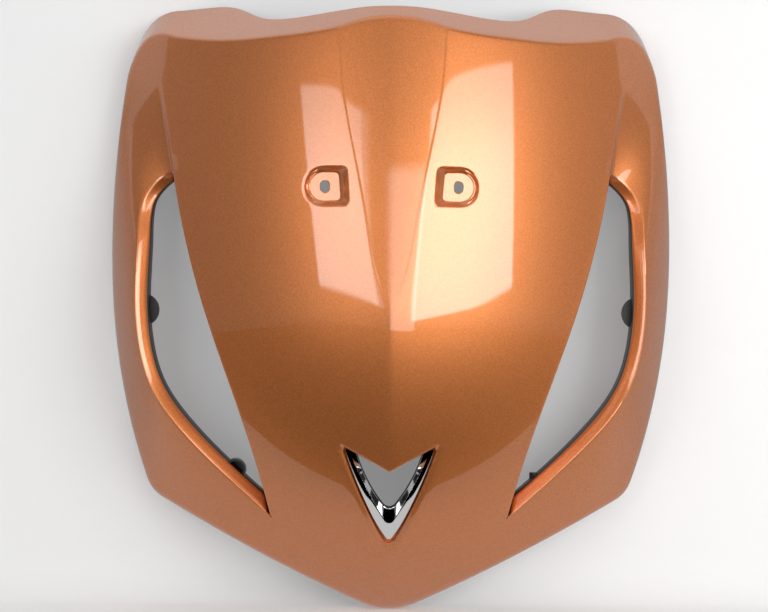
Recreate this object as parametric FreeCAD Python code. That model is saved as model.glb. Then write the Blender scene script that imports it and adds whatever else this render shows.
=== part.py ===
"""Front fairing of a scooter: one moulded and painted cover with a plated V garnish.

Frame: X to the viewer's right, Y from front to back, Z up. The origin is the centre of
the four screw bosses on the inside, in the plane of their seats. The cover is symmetric
about X = 0, so its right half is modelled and mirrored. Depths are counted backwards
from the foremost point of the cover, the crest.
"""
import FreeCAD, Part
import math
import os
from FreeCAD import Vector

# Overall form, millimetres
CREST_TO_SEAT = 112.0      # crest of the cover to the screw-boss seats
OVERALL_DEPTH = 152.0      # crest to the rear edge of the flange lobes
WALL = 2.5                 # moulded wall
EDGE_RETURN = 14.0         # how far the side and bottom edges turn back
CROWN_SLOPE = 0.15         # sideways fall of the panel at the keel
CROWN_BEND = 0.0022        # sideways bend of the panel, per millimetre
UPPER_RADIUS = 1090.0      # keel above the crest
LOWER_RADIUS = 285.0       # keel below the crest, down to the chin
FACET_APEX_Z = -4.0        # where the facet runs out into the keel
# Half width of the facet by height
FACET_EDGE = [(FACET_APEX_Z, 0), (14, 8.2), (52, 17), (106, 27.3), (152, 35.5), (200, 38.5)]
FACET_ROOF = 0.05          # fall of the facet's two halves from the centre line
FACET_ROOF_RADIUS = 3.0

# Outline seen from the front
SIDE_HALF_WIDTH = 208.7
SIDE_WIDEST_Z = 45.0
SIDE_UPPER_RADIUS = 750.0
SIDE_LOWER_RADIUS = 576.0
SIDE_TOP_Z = 162.0         # where the side runs into the top corner, at the seat plane
LOWER_CORNER_Z = -139.5
LOWER_CORNER_RADIUS = 10.0
CHIN_TIP_Z = -229.3        # the two bottom edges meet here before rounding
CHIN_TIP_RADIUS = 45.0

# Top flange: it climbs as it runs back
FLANGE_CLIMB = 0.5
FLANGE_LINE = [(0, 189.5), (18, 187.3), (36, 181.3), (85, 166.4), (120, 156.0), (160, 147.0)]
FLANGE_REAR = [(0, 43.2), (18, 47.5), (40, 59.5), (62, 68), (85, 80), (97, 94), (109, 117), (121, 135),
               (140, 146), (160, OVERALL_DEPTH)]

# Side slots for the lamps
SLOT_TOP_Z = 97.0
SLOT_TIP_Z = -152.0
SLOT_RIDGE = [(172, 88), (179, 79), (183.2, 50), (184.3, 12), (181.6, -27), (172.5, -58),
              (151, -89), (117, -123)]
RIDGE_DEPTH_AT_TIP = 70.0
RIDGE_LEAN = 0.068         # the ridge plane leans back with height
BEVEL_WIDTH = 7.5
BEVEL_DEPTH = 8.0
SLOT_FLANGE = 12.0         # wall that runs back from the bevel
SLOT_FLANGE_DRAFT = 0.8
SLOT_CLEAR = 1.5           # inner side of the slot, outside the panel's edge

# Edge of the centre panel, which stands proud of the wings
PANEL_EDGE = [(-240, 72), (-137, 88.4), (-66, 110.3), (4, 135.4), (91, 157.4), (145, 166.5),
              (240, 190)]
PANEL_STEP_TOP_Z = 162.0
PANEL_STEP = 12.0
STEP_DRAFT = 2.0
WING_CREST = 28.0          # how far the wing swells in front of the crown
WING_CREST_Z = -20.0
WING_CREST_TOP_Z = 185.0
WING_SKEW = 1.3

# Plate screw pockets
POCKET_FLOOR_DEPTH = 19.5
POCKET_OUTER_X = 55.5
POCKET_INNER_TOP_X = 35.7
POCKET_INNER_LOW_X = 33.9
POCKET_Z = 82.2
POCKET_HEIGHT = 17.0
POCKET_DRAFT = 0.4
POCKET_CORNER = 2.5
PLATE_SLOT_X = 46.3
PLATE_SLOT_WIDTH = 6.4
PLATE_SLOT_LENGTH = 8.4

# V recess and its garnish
V_MID = (17.0, -135.0)     # the recess lies in the skin's tangent plane here
V_LOW = (7.9, -165.3)      # ends of the recess's bowed side
V_HIGH = (35.7, -101.0)
V_BOW = 1.75
V_BOTTOM_RADIUS = 7.0
V_NOTCH_Z = -114.7
V_NOTCH_SLOPE = 0.565
V_TIP_RADIUS = 2.5
V_FLOOR = 8.0              # recess floor below the skin
V_DRAFT = 0.49             # of the recess's sides
V_NOTCH_DRAFT = 0.12
GARNISH_GAP = 0.3          # round the garnish, at the recess floor
GARNISH_FACE = 2.5         # plated face below the skin
GARNISH_LIP = 1.0
# Low end, high end, bow and bottom radius of the garnish's ridge and of the open window
GARNISH_RIDGE = [(4.0, -149.7), (28.7, -100.7), 0.8, 4.0]
WINDOW = [(3.2, -142.0), (22.2, -106.4), 1.9, 6.0]
PIN_RADIUS = 1.75
PIN_LENGTH = 11.0
PIN_ROOT = 1.5             # how far a pin is rooted in the garnish
PIN_CLEARANCE = 0.15
PIN_PAD_RADIUS = 3.4
PIN_PAD_HEIGHT = 4.0       # seat for a push nut, above the middle of the wall
SIDE_PIN = (22.6, -117.5)
NUT_WIDTH = 5.6
NUT_THICKNESS = 0.8
NUT_GRIP = 0.02            # gap between a pin and its nut's edge

# Screw bosses on the inside
BOSS_X = 140.0
BOSS_Z = 112.0
BOSS_RADIUS = 5.5
BOSS_HOLE_RADIUS = 2.1
BOSS_HOLE_DEPTH = 16.0
RIB_THICKNESS = 2.0
RIB_REACH = 14.0

# Lamp lugs behind the slots
LUG_RADIUS = 12.0
LUG_X = 181.0
LUG_Z = -4.0
LUG_THICKNESS = 3.0
LUG_BOSS_X = 183.0
LUG_BOSS_RADIUS = 4.5
LUG_BOSS_LENGTH = 13.0
LUG_HOLE_RADIUS = 1.6
LUG_HOLE_DEPTH = 11.0
CUP_X = 112.0              # hollow cup at the left slot's lower end
CUP_Z = -119.5
CUP_RADIUS = 8.0
CUP_WALL = 1.8
CUP_LENGTH = 12.0
POST_X = 105.0             # square lug with a round post at the right slot's lower end
POST_TOP_Z = -120.0
POST_RADIUS = 3.3
POST_LENGTH = 8.0
POST_LUG_LENGTH = 18.0
POST_LUG_HEIGHT = 8.0
POST_LUG_DEPTH = 12.0

CREST_Y = -CREST_TO_SEAT
FAR = 400.0


def smooth_curve(points):
    """A natural cubic spline through hand-set (place, value) pairs."""
    places = [p[0] for p in points]
    values = [p[1] for p in points]
    last = len(points) - 1
    gaps = [places[i + 1] - places[i] for i in range(last)]
    rates = [(values[i + 1] - values[i]) / gaps[i] for i in range(last)]
    bends = [0.0] * (last + 1)
    lower = [0.0] * (last + 1)
    carried = [0.0] * (last + 1)
    for i in range(1, last):
        pivot = 2 * (gaps[i - 1] + gaps[i]) - gaps[i - 1] * lower[i - 1]
        lower[i] = gaps[i] / pivot
        carried[i] = (6 * (rates[i] - rates[i - 1]) - gaps[i - 1] * carried[i - 1]) / pivot
    for i in range(last - 1, 0, -1):
        bends[i] = carried[i] - lower[i] * bends[i + 1]

    def value(place):
        i = 0
        while i < last - 1 and place > places[i + 1]:
            i += 1
        gap = gaps[i]
        a = places[i + 1] - place
        b = place - places[i]
        return ((bends[i] * a ** 3 + bends[i + 1] * b ** 3) / (6 * gap)
                + (values[i] / gap - bends[i] * gap / 6) * a
                + (values[i + 1] / gap - bends[i + 1] * gap / 6) * b)

    return value


panel_edge = smooth_curve(PANEL_EDGE)
facet_edge = smooth_curve(FACET_EDGE)


def arc_depth(z, radius):
    """Depth of a round profile that touches the crest at height 0."""
    return radius - math.sqrt(radius ** 2 - z ** 2)


def keel_depth(z):
    """Centre line of the two crowned sides, before the facet truncates it."""
    return arc_depth(z, UPPER_RADIUS if z > 0 else LOWER_RADIUS)


def facet_roof(x):
    return FACET_ROOF * (math.hypot(x, FACET_ROOF_RADIUS) - FACET_ROOF_RADIUS)


def facet_depth(x, z):
    """The facet is flatter than the crowned sides, and meets them at its edges."""
    half = facet_edge(z)
    return keel_depth(z) + CROWN_SLOPE * half - facet_roof(half) + CROWN_BEND * x ** 2 + facet_roof(x)


def panel_depth(x, z):
    return keel_depth(z) + CROWN_SLOPE * x + CROWN_BEND * x ** 2


def side_half_width(z):
    radius = SIDE_UPPER_RADIUS if z > SIDE_WIDEST_Z else SIDE_LOWER_RADIUS
    return SIDE_HALF_WIDTH - arc_depth(z - SIDE_WIDEST_Z, radius)


def step_depth(z):
    """How far the wing lies behind the panel's edge: nothing at the corner and at the slot's tip."""
    middle = (PANEL_STEP_TOP_Z + SLOT_TIP_Z) / 2
    share = (z - middle) / (PANEL_STEP_TOP_Z - middle)
    return PANEL_STEP * max(1 - share ** 4, 0) ** 1.5


def wing_swell(z):
    reach = (WING_CREST_TOP_Z if z > WING_CREST_Z else SLOT_TIP_Z) - WING_CREST_Z
    return WING_CREST * max(1 - ((z - WING_CREST_Z) / reach) ** 2, 0) ** 1.5


def wing_depth(x, z):
    edge = panel_edge(z)
    share = max((x - edge) / max(side_half_width(z) - edge, 10), 0)
    swell = wing_swell(z) * math.sin(math.pi * share ** WING_SKEW)
    return panel_depth(x, z) + step_depth(z) * (1 - share) - swell


def offset_depth(skin, x, z, wall):
    """The skin moved inwards by a wall, measured square to the surface."""
    reach = 0.5
    across = (skin(x + reach, z) - skin(x - reach, z)) / (2 * reach)
    upward = (skin(x, z + reach) - skin(x, z - reach)) / (2 * reach)
    return skin(x, z) + wall * math.sqrt(1 + across ** 2 + upward ** 2)


def at(x, depth, z):
    return Vector(x, CREST_Y + depth, z)


def spline(points):
    curve = Part.BSplineCurve()
    curve.interpolate(points)
    return curve.toShape()


def even_spline(points):
    """Smooth edge with its points at even parameters, so that the sections loft knot to knot."""
    curve = Part.BSplineCurve()
    curve.interpolate(Points=points, Parameters=[i / (len(points) - 1) for i in range(len(points))])
    return curve.toShape()


def line(start, end):
    return Part.LineSegment(start, end).toShape()


def skin_section(z, wall, shift):
    """Closed half section of the body behind the skin at one height."""
    panel_points = 5
    wing_points = 7
    edge = panel_edge(z) - wall
    foot = edge + STEP_DRAFT
    rim = max(side_half_width(z) + 6, foot + 16)
    back = OVERALL_DEPTH + 60
    panel = []
    for i in range(panel_points):
        x = edge * i / (panel_points - 1)
        panel.append(at(x, offset_depth(panel_depth, x, z, wall) + shift, z))
    wing = []
    for i in range(wing_points):
        x = foot + (rim - foot) * i / (wing_points - 1)
        wing.append(at(x, offset_depth(wing_depth, x, z, wall) + shift, z))
    corner = at(rim, back, z)
    centre = at(0, back, z)
    return Part.Wire([even_spline(panel), line(panel[-1], wing[0]), even_spline(wing),
                      line(wing[-1], corner), line(corner, centre), line(centre, panel[0])])


SECTION_HEIGHTS = [-236, -210, -182, SLOT_TIP_Z, -134, -114, -90, -60, -25, 10, 50, 85, 112, 140,
                   PANEL_STEP_TOP_Z - 8, 200, 262]


def body_behind_skin(wall=0.0, shift=0.0):
    sections = [skin_section(z, wall, shift) for z in SECTION_HEIGHTS]
    return Part.makeLoft(sections, True, False)


def facet_cutter(wall):
    """Everything in front of the facet on the centre line."""
    places = [-8, 0, 8, 24, 60]
    front = -60.0
    sections = []
    for i in range(10):
        z = FACET_APEX_Z - 18 + 26 * i
        facet = [at(x, facet_depth(x, z) + wall, z) for x in places]
        outer = at(places[-1], front, z)
        inner = at(places[0], front, z)
        sections.append(Part.Wire([even_spline(facet), line(facet[-1], outer), line(outer, inner),
                                   line(inner, facet[0])]))
    return Part.makeLoft(sections, True, False)


def outline_section(depth, inset):
    """Half outline of the cover at one depth, as a closed wire."""
    climb = FLANGE_CLIMB * depth
    slope = math.atan2(LOWER_CORNER_Z - CHIN_TIP_Z, side_half_width(LOWER_CORNER_Z))
    square = inset / math.cos(slope)
    tip_z = CHIN_TIP_Z + square
    reach = CHIN_TIP_RADIUS * math.tan(slope)
    tip_end = Vector(reach * math.cos(slope), 0, tip_z + reach * math.sin(slope))
    tip_low = Vector(0, 0, tip_z + CHIN_TIP_RADIUS * (1 / math.cos(slope) - 1))
    half_turn = slope / 2
    tip_mid = Vector(CHIN_TIP_RADIUS * math.sin(half_turn), 0,
                     tip_low.z + CHIN_TIP_RADIUS * (1 - math.cos(half_turn)))

    corner = Vector(side_half_width(LOWER_CORNER_Z) - inset, 0, LOWER_CORNER_Z + square)
    corner_in = corner - Vector(math.cos(slope), 0, math.sin(slope)) * LOWER_CORNER_RADIUS
    side_low_z = corner.z + LOWER_CORNER_RADIUS
    corner_out = Vector(side_half_width(side_low_z) - inset, 0, side_low_z)
    side_end_z = SIDE_TOP_Z + FLANGE_CLIMB * (depth - CREST_TO_SEAT) - inset
    side_end = Vector(side_half_width(side_end_z) - inset, 0, side_end_z)
    widest = Vector(SIDE_HALF_WIDTH - inset, 0, SIDE_WIDEST_Z)

    def side_point(z):
        return Vector(side_half_width(z) - inset, 0, z)

    lift = climb - inset * math.sqrt(1 + FLANGE_CLIMB ** 2)
    top = [Vector(x, 0, z + lift) for x, z in reversed(FLANGE_LINE)]
    corner_curve = Part.BezierCurve()
    corner_curve.setPoles([side_end, side_end + Vector(-8, 0, 24), top[0] + Vector(20, 0, 0), top[0]])
    edges = [
        Part.Arc(tip_low, tip_mid, tip_end).toShape(),
        line(tip_end, corner_in),
        Part.BezierCurve(),
        Part.Arc(corner_out, side_point((side_low_z + SIDE_WIDEST_Z) / 2), widest).toShape(),
        Part.Arc(widest, side_point((SIDE_WIDEST_Z + side_end_z) / 2), side_end).toShape(),
        corner_curve.toShape(),
        spline(top),
        line(top[-1], tip_low),
    ]
    edges[2].setPoles([corner_in, corner, corner_out])
    edges[2] = edges[2].toShape()
    wire = Part.Wire(edges)
    wire.translate(Vector(0, CREST_Y + depth, 0))
    return wire


def outline_body(inset):
    front = outline_section(-20.0, inset)
    rear = outline_section(OVERALL_DEPTH + 40, inset)
    return Part.makeLoft([front, rear], True, True)


def ridge_depth(z):
    return RIDGE_DEPTH_AT_TIP + RIDGE_LEAN * (z - SLOT_TIP_Z)


def slot_section(outset, behind, clear):
    """Closed wire round the slot, parallel to the ridge plane: the ridge moved out by outset."""
    top_z = SLOT_TOP_Z + 1.1 * outset
    low_z = SLOT_TIP_Z - 1.8 * outset
    count = len(SLOT_RIDGE)
    path = [(panel_edge(top_z) + clear, top_z)]
    chain = [(panel_edge(SLOT_TOP_Z), SLOT_TOP_Z)] + SLOT_RIDGE + [(panel_edge(SLOT_TIP_Z), SLOT_TIP_Z)]
    for i in range(1, count + 1):
        run_x = chain[i + 1][0] - chain[i - 1][0]
        run_z = chain[i + 1][1] - chain[i - 1][1]
        size = math.hypot(run_x, run_z)
        path.append((chain[i][0] - run_z / size * outset, chain[i][1] + run_x / size * outset))
    path.append((panel_edge(low_z) + clear, low_z))
    outer = [at(x, ridge_depth(z) + behind, z) for x, z in path]
    inner = []
    steps = 8
    for i in range(steps + 1):
        z = low_z + (top_z - low_z) * i / steps
        inner.append(at(panel_edge(z) + clear, ridge_depth(z) + behind, z))
    return Part.Wire([spline(outer), spline(inner)])


def slot_body(sections, clear):
    return Part.makeLoft([slot_section(outset, behind, clear) for outset, behind in sections], True, True)


def slot_tunnel(wall):
    """The slot with its bevelled mouth, or the block that leaves a wall round it."""
    lead = 32.0
    rate = BEVEL_WIDTH / BEVEL_DEPTH
    skew = wall * math.hypot(1, rate)
    inside = wall - BEVEL_WIDTH
    bevel_end = (skew - inside) / rate
    flange_end = BEVEL_DEPTH + SLOT_FLANGE
    run_on = 0.0 if wall else 1.0
    return slot_body([(lead * rate + skew, -lead), (inside, bevel_end),
                      (inside - SLOT_FLANGE_DRAFT, flange_end + run_on)], SLOT_CLEAR - wall)


def rounded_polygon(points, radii, place):
    """Closed wire of straight sides and round corners; place maps a flat point into space."""
    count = len(points)
    ends = []
    for i in range(count):
        here = Vector(points[i][0], points[i][1], 0)
        before = Vector(points[i - 1][0], points[i - 1][1], 0) - here
        after = Vector(points[(i + 1) % count][0], points[(i + 1) % count][1], 0) - here
        before.normalize()
        after.normalize()
        half = before.getAngle(after) / 2
        reach = radii[i] / math.tan(half)
        middle = before + after
        middle.normalize()
        tip = here + middle * (radii[i] / math.sin(half) - radii[i])
        ends.append((here + before * reach, tip, here + after * reach))
    edges = []
    for i in range(count):
        start, tip, end = (place(p.x, p.y) for p in ends[i])
        edges.append(Part.Arc(start, tip, end).toShape())
        following = ends[(i + 1) % count][0]
        edges.append(line(end, place(following.x, following.y)))
    return Part.Wire(edges)


def pocket_section(outset, depth):
    top = POCKET_Z + POCKET_HEIGHT / 2 + outset
    low = POCKET_Z - POCKET_HEIGHT / 2 - outset
    outer = POCKET_OUTER_X + outset
    round_end = POCKET_HEIGHT / 2 + outset - 0.1
    corner = POCKET_CORNER + outset / 2
    points = [(outer, top), (POCKET_INNER_TOP_X - outset, top),
              (POCKET_INNER_LOW_X - outset, low), (outer, low)]
    return rounded_polygon(points, [round_end, corner, corner, round_end], lambda x, z: at(x, depth, z))


def pocket_body(wall):
    front = -2.0
    outset = POCKET_DRAFT * (POCKET_FLOOR_DEPTH - front)
    mouth = pocket_section(outset + wall, front)
    floor = pocket_section(wall, POCKET_FLOOR_DEPTH + wall)
    return Part.makeLoft([mouth, floor], True, True)


def plate_slot():
    radius = PLATE_SLOT_WIDTH / 2
    half = PLATE_SLOT_LENGTH / 2 - radius
    start = at(PLATE_SLOT_X, POCKET_FLOOR_DEPTH - 4, POCKET_Z)
    cut = Part.makeBox(PLATE_SLOT_WIDTH, 12, 2 * half, start - Vector(radius, 0, half))
    for end in (-half, half):
        cut = cut.fuse(Part.makeCylinder(radius, 12, start + Vector(0, 0, end), Vector(0, 1, 0)))
    return cut


def v_slopes():
    """Slopes of the skin across and upwards in the middle of the V recess."""
    x0, z0 = V_MID
    reach = 0.5
    across = (panel_depth(x0 + reach, z0) - panel_depth(x0 - reach, z0)) / (2 * reach)
    upward = (panel_depth(x0, z0 + reach) - panel_depth(x0, z0 - reach)) / (2 * reach)
    return across, upward


def v_place(behind):
    """Maps a point seen from the front onto the V recess plane, or a plane behind it."""
    x0, z0 = V_MID
    across, upward = v_slopes()
    square = math.sqrt(1 + across ** 2 + upward ** 2)

    def place(x, z):
        return at(x, panel_depth(x0, z0) + across * (x - x0) + upward * (z - z0) + behind * square, z)

    return place


def bowed_side(low, high, bow):
    """Centre and radius of the arc that runs from low to high and bows outwards."""
    run_x = high[0] - low[0]
    run_z = high[1] - low[1]
    length = math.hypot(run_x, run_z)
    radius = length ** 2 / (8 * bow) + bow / 2
    reach = (radius - bow) / length
    return ((low[0] + high[0]) / 2 - run_z * reach, (low[1] + high[1]) / 2 + run_x * reach), radius


def toward(centre, spot, radius):
    """Where a circle is met on the way from its centre to a spot."""
    share = radius / math.hypot(spot[0] - centre[0], spot[1] - centre[1])
    return centre[0] + (spot[0] - centre[0]) * share, centre[1] + (spot[1] - centre[1]) * share


def arc(centre, radius, start, end, place):
    middle = toward(centre, ((start[0] + end[0]) / 2, (start[1] + end[1]) / 2), radius)
    return Part.Arc(place(*start), place(*middle), place(*end)).toShape()


def turn_centre(centre, radius, turn):
    """Centre of the round turn that joins a bowed side to its mirror image."""
    return 0.0, centre[1] - math.sqrt((radius - turn) ** 2 - centre[0] ** 2)


def closed_half(bottom, edges, end, place):
    """A half outline, closed a little past the centre line."""
    over = -4.0
    corners = [end, (over, end[1]), (over, bottom[1]), bottom]
    sides = [line(place(*a), place(*b)) for a, b in zip(corners, corners[1:])]
    return Part.Wire(edges + sides)


def v_turn(inset):
    return V_BOTTOM_RADIUS - 0.62 * inset


def v_bottom(inset):
    """Lowest point of the recess's outline, moved in by inset."""
    centre, radius = bowed_side(V_LOW, V_HIGH, V_BOW)
    turn = v_turn(inset)
    return 0.0, turn_centre(centre, radius - inset, turn)[1] - turn


def v_outline(inset, notch_inset, behind):
    """Half of the arrow-shaped outline of the recess, moved in from its sides and from its notch."""
    place = v_place(behind)
    centre, radius = bowed_side(V_LOW, V_HIGH, V_BOW)
    radius -= inset
    turn = v_turn(inset)
    low_centre = turn_centre(centre, radius, turn)
    side_low = toward(centre, low_centre, radius)

    round_tip = V_TIP_RADIUS - inset / 4
    square = math.hypot(1, V_NOTCH_SLOPE)
    base = V_NOTCH_Z - (notch_inset + round_tip) * square
    half_b = V_NOTCH_SLOPE * (base - centre[1]) - centre[0]
    rest = centre[0] ** 2 + (base - centre[1]) ** 2 - (radius - round_tip) ** 2
    tip_x = (math.sqrt(half_b ** 2 - square ** 2 * rest) - half_b) / square ** 2
    tip = (tip_x, base + V_NOTCH_SLOPE * tip_x)
    side_high = toward(centre, tip, radius)
    notch_start = (tip[0] - V_NOTCH_SLOPE / square * round_tip, tip[1] + round_tip / square)
    notch = (0.0, V_NOTCH_Z - notch_inset * square)
    bottom = v_bottom(inset)
    edges = [arc(low_centre, turn, bottom, side_low, place), arc(centre, radius, side_low, side_high, place),
             arc(tip, round_tip, side_high, notch_start, place), line(place(*notch_start), place(*notch))]
    return closed_half(bottom, edges, notch, place)


def v_body(wall, floor):
    front = -14.0
    sections = [v_outline(V_DRAFT * behind - wall, V_NOTCH_DRAFT * behind - wall, behind)
                for behind in (front, floor)]
    return Part.makeLoft(sections, True, True)


def window_shape(share):
    """The garnish's ridge at share 0, the window's edge at share 1, and what lies between or beyond."""
    def mix(a, b):
        return a + (b - a) * share

    ends = [tuple(mix(a, b) for a, b in zip(GARNISH_RIDGE[i], WINDOW[i])) for i in (0, 1)]
    return ends[0], ends[1], mix(GARNISH_RIDGE[2], WINDOW[2]), mix(GARNISH_RIDGE[3], WINDOW[3])


def window_bottom(share):
    low, high, bow, turn = window_shape(share)
    centre, radius = bowed_side(low, high, bow)
    return 0.0, turn_centre(centre, radius, turn)[1] - turn


def window_outline(share, behind):
    """Half V of the open window, running on upwards past the notch."""
    place = v_place(behind)
    low, high, bow, turn = window_shape(share)
    centre, radius = bowed_side(low, high, bow)
    low_centre = turn_centre(centre, radius, turn)
    side_low = toward(centre, low_centre, radius)
    run_on = 25.0 / radius
    end = (high[0] - (high[1] - centre[1]) * run_on, high[1] + (high[0] - centre[0]) * run_on)
    bottom = window_bottom(share)
    edges = [arc(low_centre, turn, bottom, side_low, place), arc(centre, radius, side_low, high, place),
             line(place(*high), place(*end))]
    return closed_half(bottom, edges, end, place)


def window_body():
    return Part.makeLoft([window_outline(1, -14), window_outline(1, V_FLOOR + 12)], True, True)


def pin_places():
    """The low pin stands in the middle of the flat face on the centre line."""
    low = (window_bottom(0)[1] + v_bottom(garnish_inset())[1]) / 2
    return [(0.0, low), SIDE_PIN]


def garnish_inset():
    return V_DRAFT * V_FLOOR + GARNISH_GAP


def pin_axis():
    """The garnish is pushed in square to the chin on the centre line."""
    axis = Vector(0, 1, -v_slopes()[1])
    return axis.normalize()


def pin_point(x, z, along):
    """A point on a pin's axis, counted from the recess floor."""
    return v_place(V_FLOOR)(x, z) + pin_axis() * along


def edge_trim():
    """Cuts the side and bottom edges to an even return."""
    behind = body_behind_skin(0.0, EDGE_RETURN)
    below_flange = Part.makeBox(FAR, FAR, FAR + 165, Vector(-1, -FAR / 2, -FAR))
    return behind.common(below_flange).cut(outline_body(4 * WALL))


def flange_trim():
    """Cuts the rear edge of the top flange: drawn in at the middle, with a lobe each side."""
    low = 150.0
    path = [Vector(x, CREST_Y + depth, low) for x, depth in FLANGE_REAR]
    last = path[-1]
    outer = Vector(FAR, last.y, low)
    far_outer = Vector(FAR, FAR, low)
    far_inner = Vector(-1, FAR, low)
    inner = Vector(-1, path[0].y, low)
    edges = [spline(path), line(last, outer), line(outer, far_outer), line(far_outer, far_inner),
             line(far_inner, inner), line(inner, path[0])]
    return Part.Face(Part.Wire(edges)).extrude(Vector(0, 0, FAR))


def screw_boss(x, z, inside):
    """Boss with gusset ribs, rooted in the skin and ending in the seat plane."""
    start = Vector(x, CREST_Y + 30, z)
    length = CREST_TO_SEAT - 30
    boss = Part.makeCylinder(BOSS_RADIUS, length, start, Vector(0, 1, 0))
    rib_length = 2 * (BOSS_RADIUS + RIB_REACH)
    corner = Vector(x - rib_length / 2, start.y, z - RIB_THICKNESS / 2)
    boss = boss.fuse(Part.makeBox(rib_length, length - 9, RIB_THICKNESS, corner))
    corner = Vector(x - RIB_THICKNESS / 2, start.y, z - rib_length / 2)
    boss = boss.fuse(Part.makeBox(RIB_THICKNESS, length - 9, rib_length, corner))
    return boss.common(inside)


def lamp_lug(inside):
    """Round lug behind the slot's outer side, with a boss for the lamp's screw."""
    rear = ridge_depth(LUG_Z) + BEVEL_DEPTH + SLOT_FLANGE
    front = rear - LUG_THICKNESS
    lug = Part.makeCylinder(LUG_RADIUS, LUG_THICKNESS, at(LUG_X, front, LUG_Z), Vector(0, 1, 0))
    boss = Part.makeCylinder(LUG_BOSS_RADIUS, LUG_BOSS_LENGTH, at(LUG_BOSS_X, front, LUG_Z), Vector(0, 1, 0))
    return lug.fuse(boss).common(inside)


def lamp_lug_hole():
    mouth = ridge_depth(LUG_Z) + BEVEL_DEPTH + SLOT_FLANGE - LUG_THICKNESS + LUG_BOSS_LENGTH
    return Part.makeCylinder(LUG_HOLE_RADIUS, LUG_HOLE_DEPTH, at(LUG_BOSS_X, mouth, LUG_Z), Vector(0, -1, 0))


def left_cup():
    front = ridge_depth(CUP_Z) + BEVEL_DEPTH + 2
    place = at(-CUP_X, front, CUP_Z)
    cup = Part.makeCylinder(CUP_RADIUS, CUP_LENGTH, place, Vector(0, 1, 0))
    return cup.cut(Part.makeCylinder(CUP_RADIUS - CUP_WALL, CUP_LENGTH - CUP_WALL, place, Vector(0, 1, 0)))


def right_post():
    front = ridge_depth(POST_TOP_Z) + BEVEL_DEPTH + 2
    low = POST_TOP_Z - POST_LENGTH - POST_LUG_HEIGHT
    lug = Part.makeBox(POST_LUG_LENGTH, POST_LUG_DEPTH, POST_LUG_HEIGHT,
                       at(POST_X - POST_LUG_LENGTH * 0.4, front, low))
    foot = at(POST_X, front + POST_LUG_DEPTH / 2, low + POST_LUG_HEIGHT - 1)
    post = Part.makeCylinder(POST_RADIUS, POST_LENGTH + 1, foot, Vector(0, 0, 1))
    return lug.fuse(post)


def half_cover():
    skin = body_behind_skin()
    outer = skin.common(outline_body(0)).cut(facet_cutter(0))
    cavity = body_behind_skin(WALL).common(outline_body(WALL)).cut(facet_cutter(WALL))
    cavity = cavity.cut(slot_tunnel(WALL)).cut(pocket_body(WALL)).cut(v_body(WALL, V_FLOOR + WALL))

    cover = outer.cut(cavity)
    cover = cover.cut(slot_tunnel(0))
    cover = cover.cut(pocket_body(0)).cut(plate_slot())
    cover = cover.cut(v_body(0, V_FLOOR)).cut(window_body().common(v_body(0, V_FLOOR + 6)))
    cover = cover.cut(edge_trim()).cut(flange_trim())

    in_wing = body_behind_skin(WALL * 0.6).common(outline_body(WALL * 0.6))
    inside = in_wing.cut(slot_tunnel(WALL * 0.4))
    for z in (BOSS_Z, -BOSS_Z):
        cover = cover.fuse(screw_boss(BOSS_X, z, inside))
    cover = cover.fuse(lamp_lug(in_wing)).cut(lamp_lug_hole())
    for z in (BOSS_Z, -BOSS_Z):
        mouth = Vector(BOSS_X, 0, z)
        cover = cover.cut(Part.makeCylinder(BOSS_HOLE_RADIUS, BOSS_HOLE_DEPTH, mouth, Vector(0, -1, 0)))
    for x, z in pin_places():
        pad = Part.makeCylinder(PIN_PAD_RADIUS, PIN_PAD_HEIGHT, pin_point(x, z, WALL / 2), pin_axis())
        hole = Part.makeCylinder(PIN_RADIUS + PIN_CLEARANCE, 20, pin_point(x, z, -4), pin_axis())
        cover = cover.fuse(pad).cut(hole)
    half_space = Part.makeBox(FAR, FAR, 2 * FAR, Vector(0, -FAR / 2, -FAR))
    return cover.common(half_space)


def both_halves(half):
    return half.fuse(half.mirror(Vector(0, 0, 0), Vector(1, 0, 0))).removeSplitter()


def make_cover():
    return both_halves(half_cover()).fuse(left_cup()).fuse(right_post())


def make_garnish():
    """Two plated arms that meet on the centre line, each with a flat and a bevelled face and pins behind."""
    inset = garnish_inset()
    notch_inset = V_NOTCH_DRAFT * V_FLOOR + GARNISH_GAP
    sections = [v_outline(inset, notch_inset, behind) for behind in (GARNISH_FACE, V_FLOOR)]
    arms = Part.makeLoft(sections, True, True).cut(window_body())
    fall = V_FLOOR - GARNISH_LIP - GARNISH_FACE
    bevel = [window_outline(share, GARNISH_FACE + fall * share) for share in (-0.4, 1.4)]
    arms = arms.cut(Part.makeLoft(bevel, True, True))
    for x, z in pin_places():
        arms = arms.fuse(Part.makeCylinder(PIN_RADIUS, PIN_LENGTH, pin_point(x, z, -PIN_ROOT), pin_axis()))
    half_space = Part.makeBox(FAR, FAR, 2 * FAR, Vector(0, -FAR / 2, -FAR))
    return both_halves(arms.common(half_space))


def push_nut(x, z):
    """Square spring plate that grips a pin and bears on its pad."""
    plate = Part.makeBox(NUT_WIDTH, NUT_WIDTH, NUT_THICKNESS, Vector(-NUT_WIDTH / 2, -NUT_WIDTH / 2, 0))
    plate = plate.cut(Part.makeCylinder(PIN_RADIUS + NUT_GRIP, NUT_THICKNESS))
    seat = pin_point(x, z, WALL / 2 + PIN_PAD_HEIGHT)
    plate.Placement = FreeCAD.Placement(seat, FreeCAD.Rotation(Vector(0, 0, 1), pin_axis()))
    return plate


def make_push_nuts():
    low, side = [push_nut(x, z) for x, z in pin_places()]
    return Part.Compound([low, side, side.mirror(Vector(0, 0, 0), Vector(1, 0, 0))])


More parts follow.
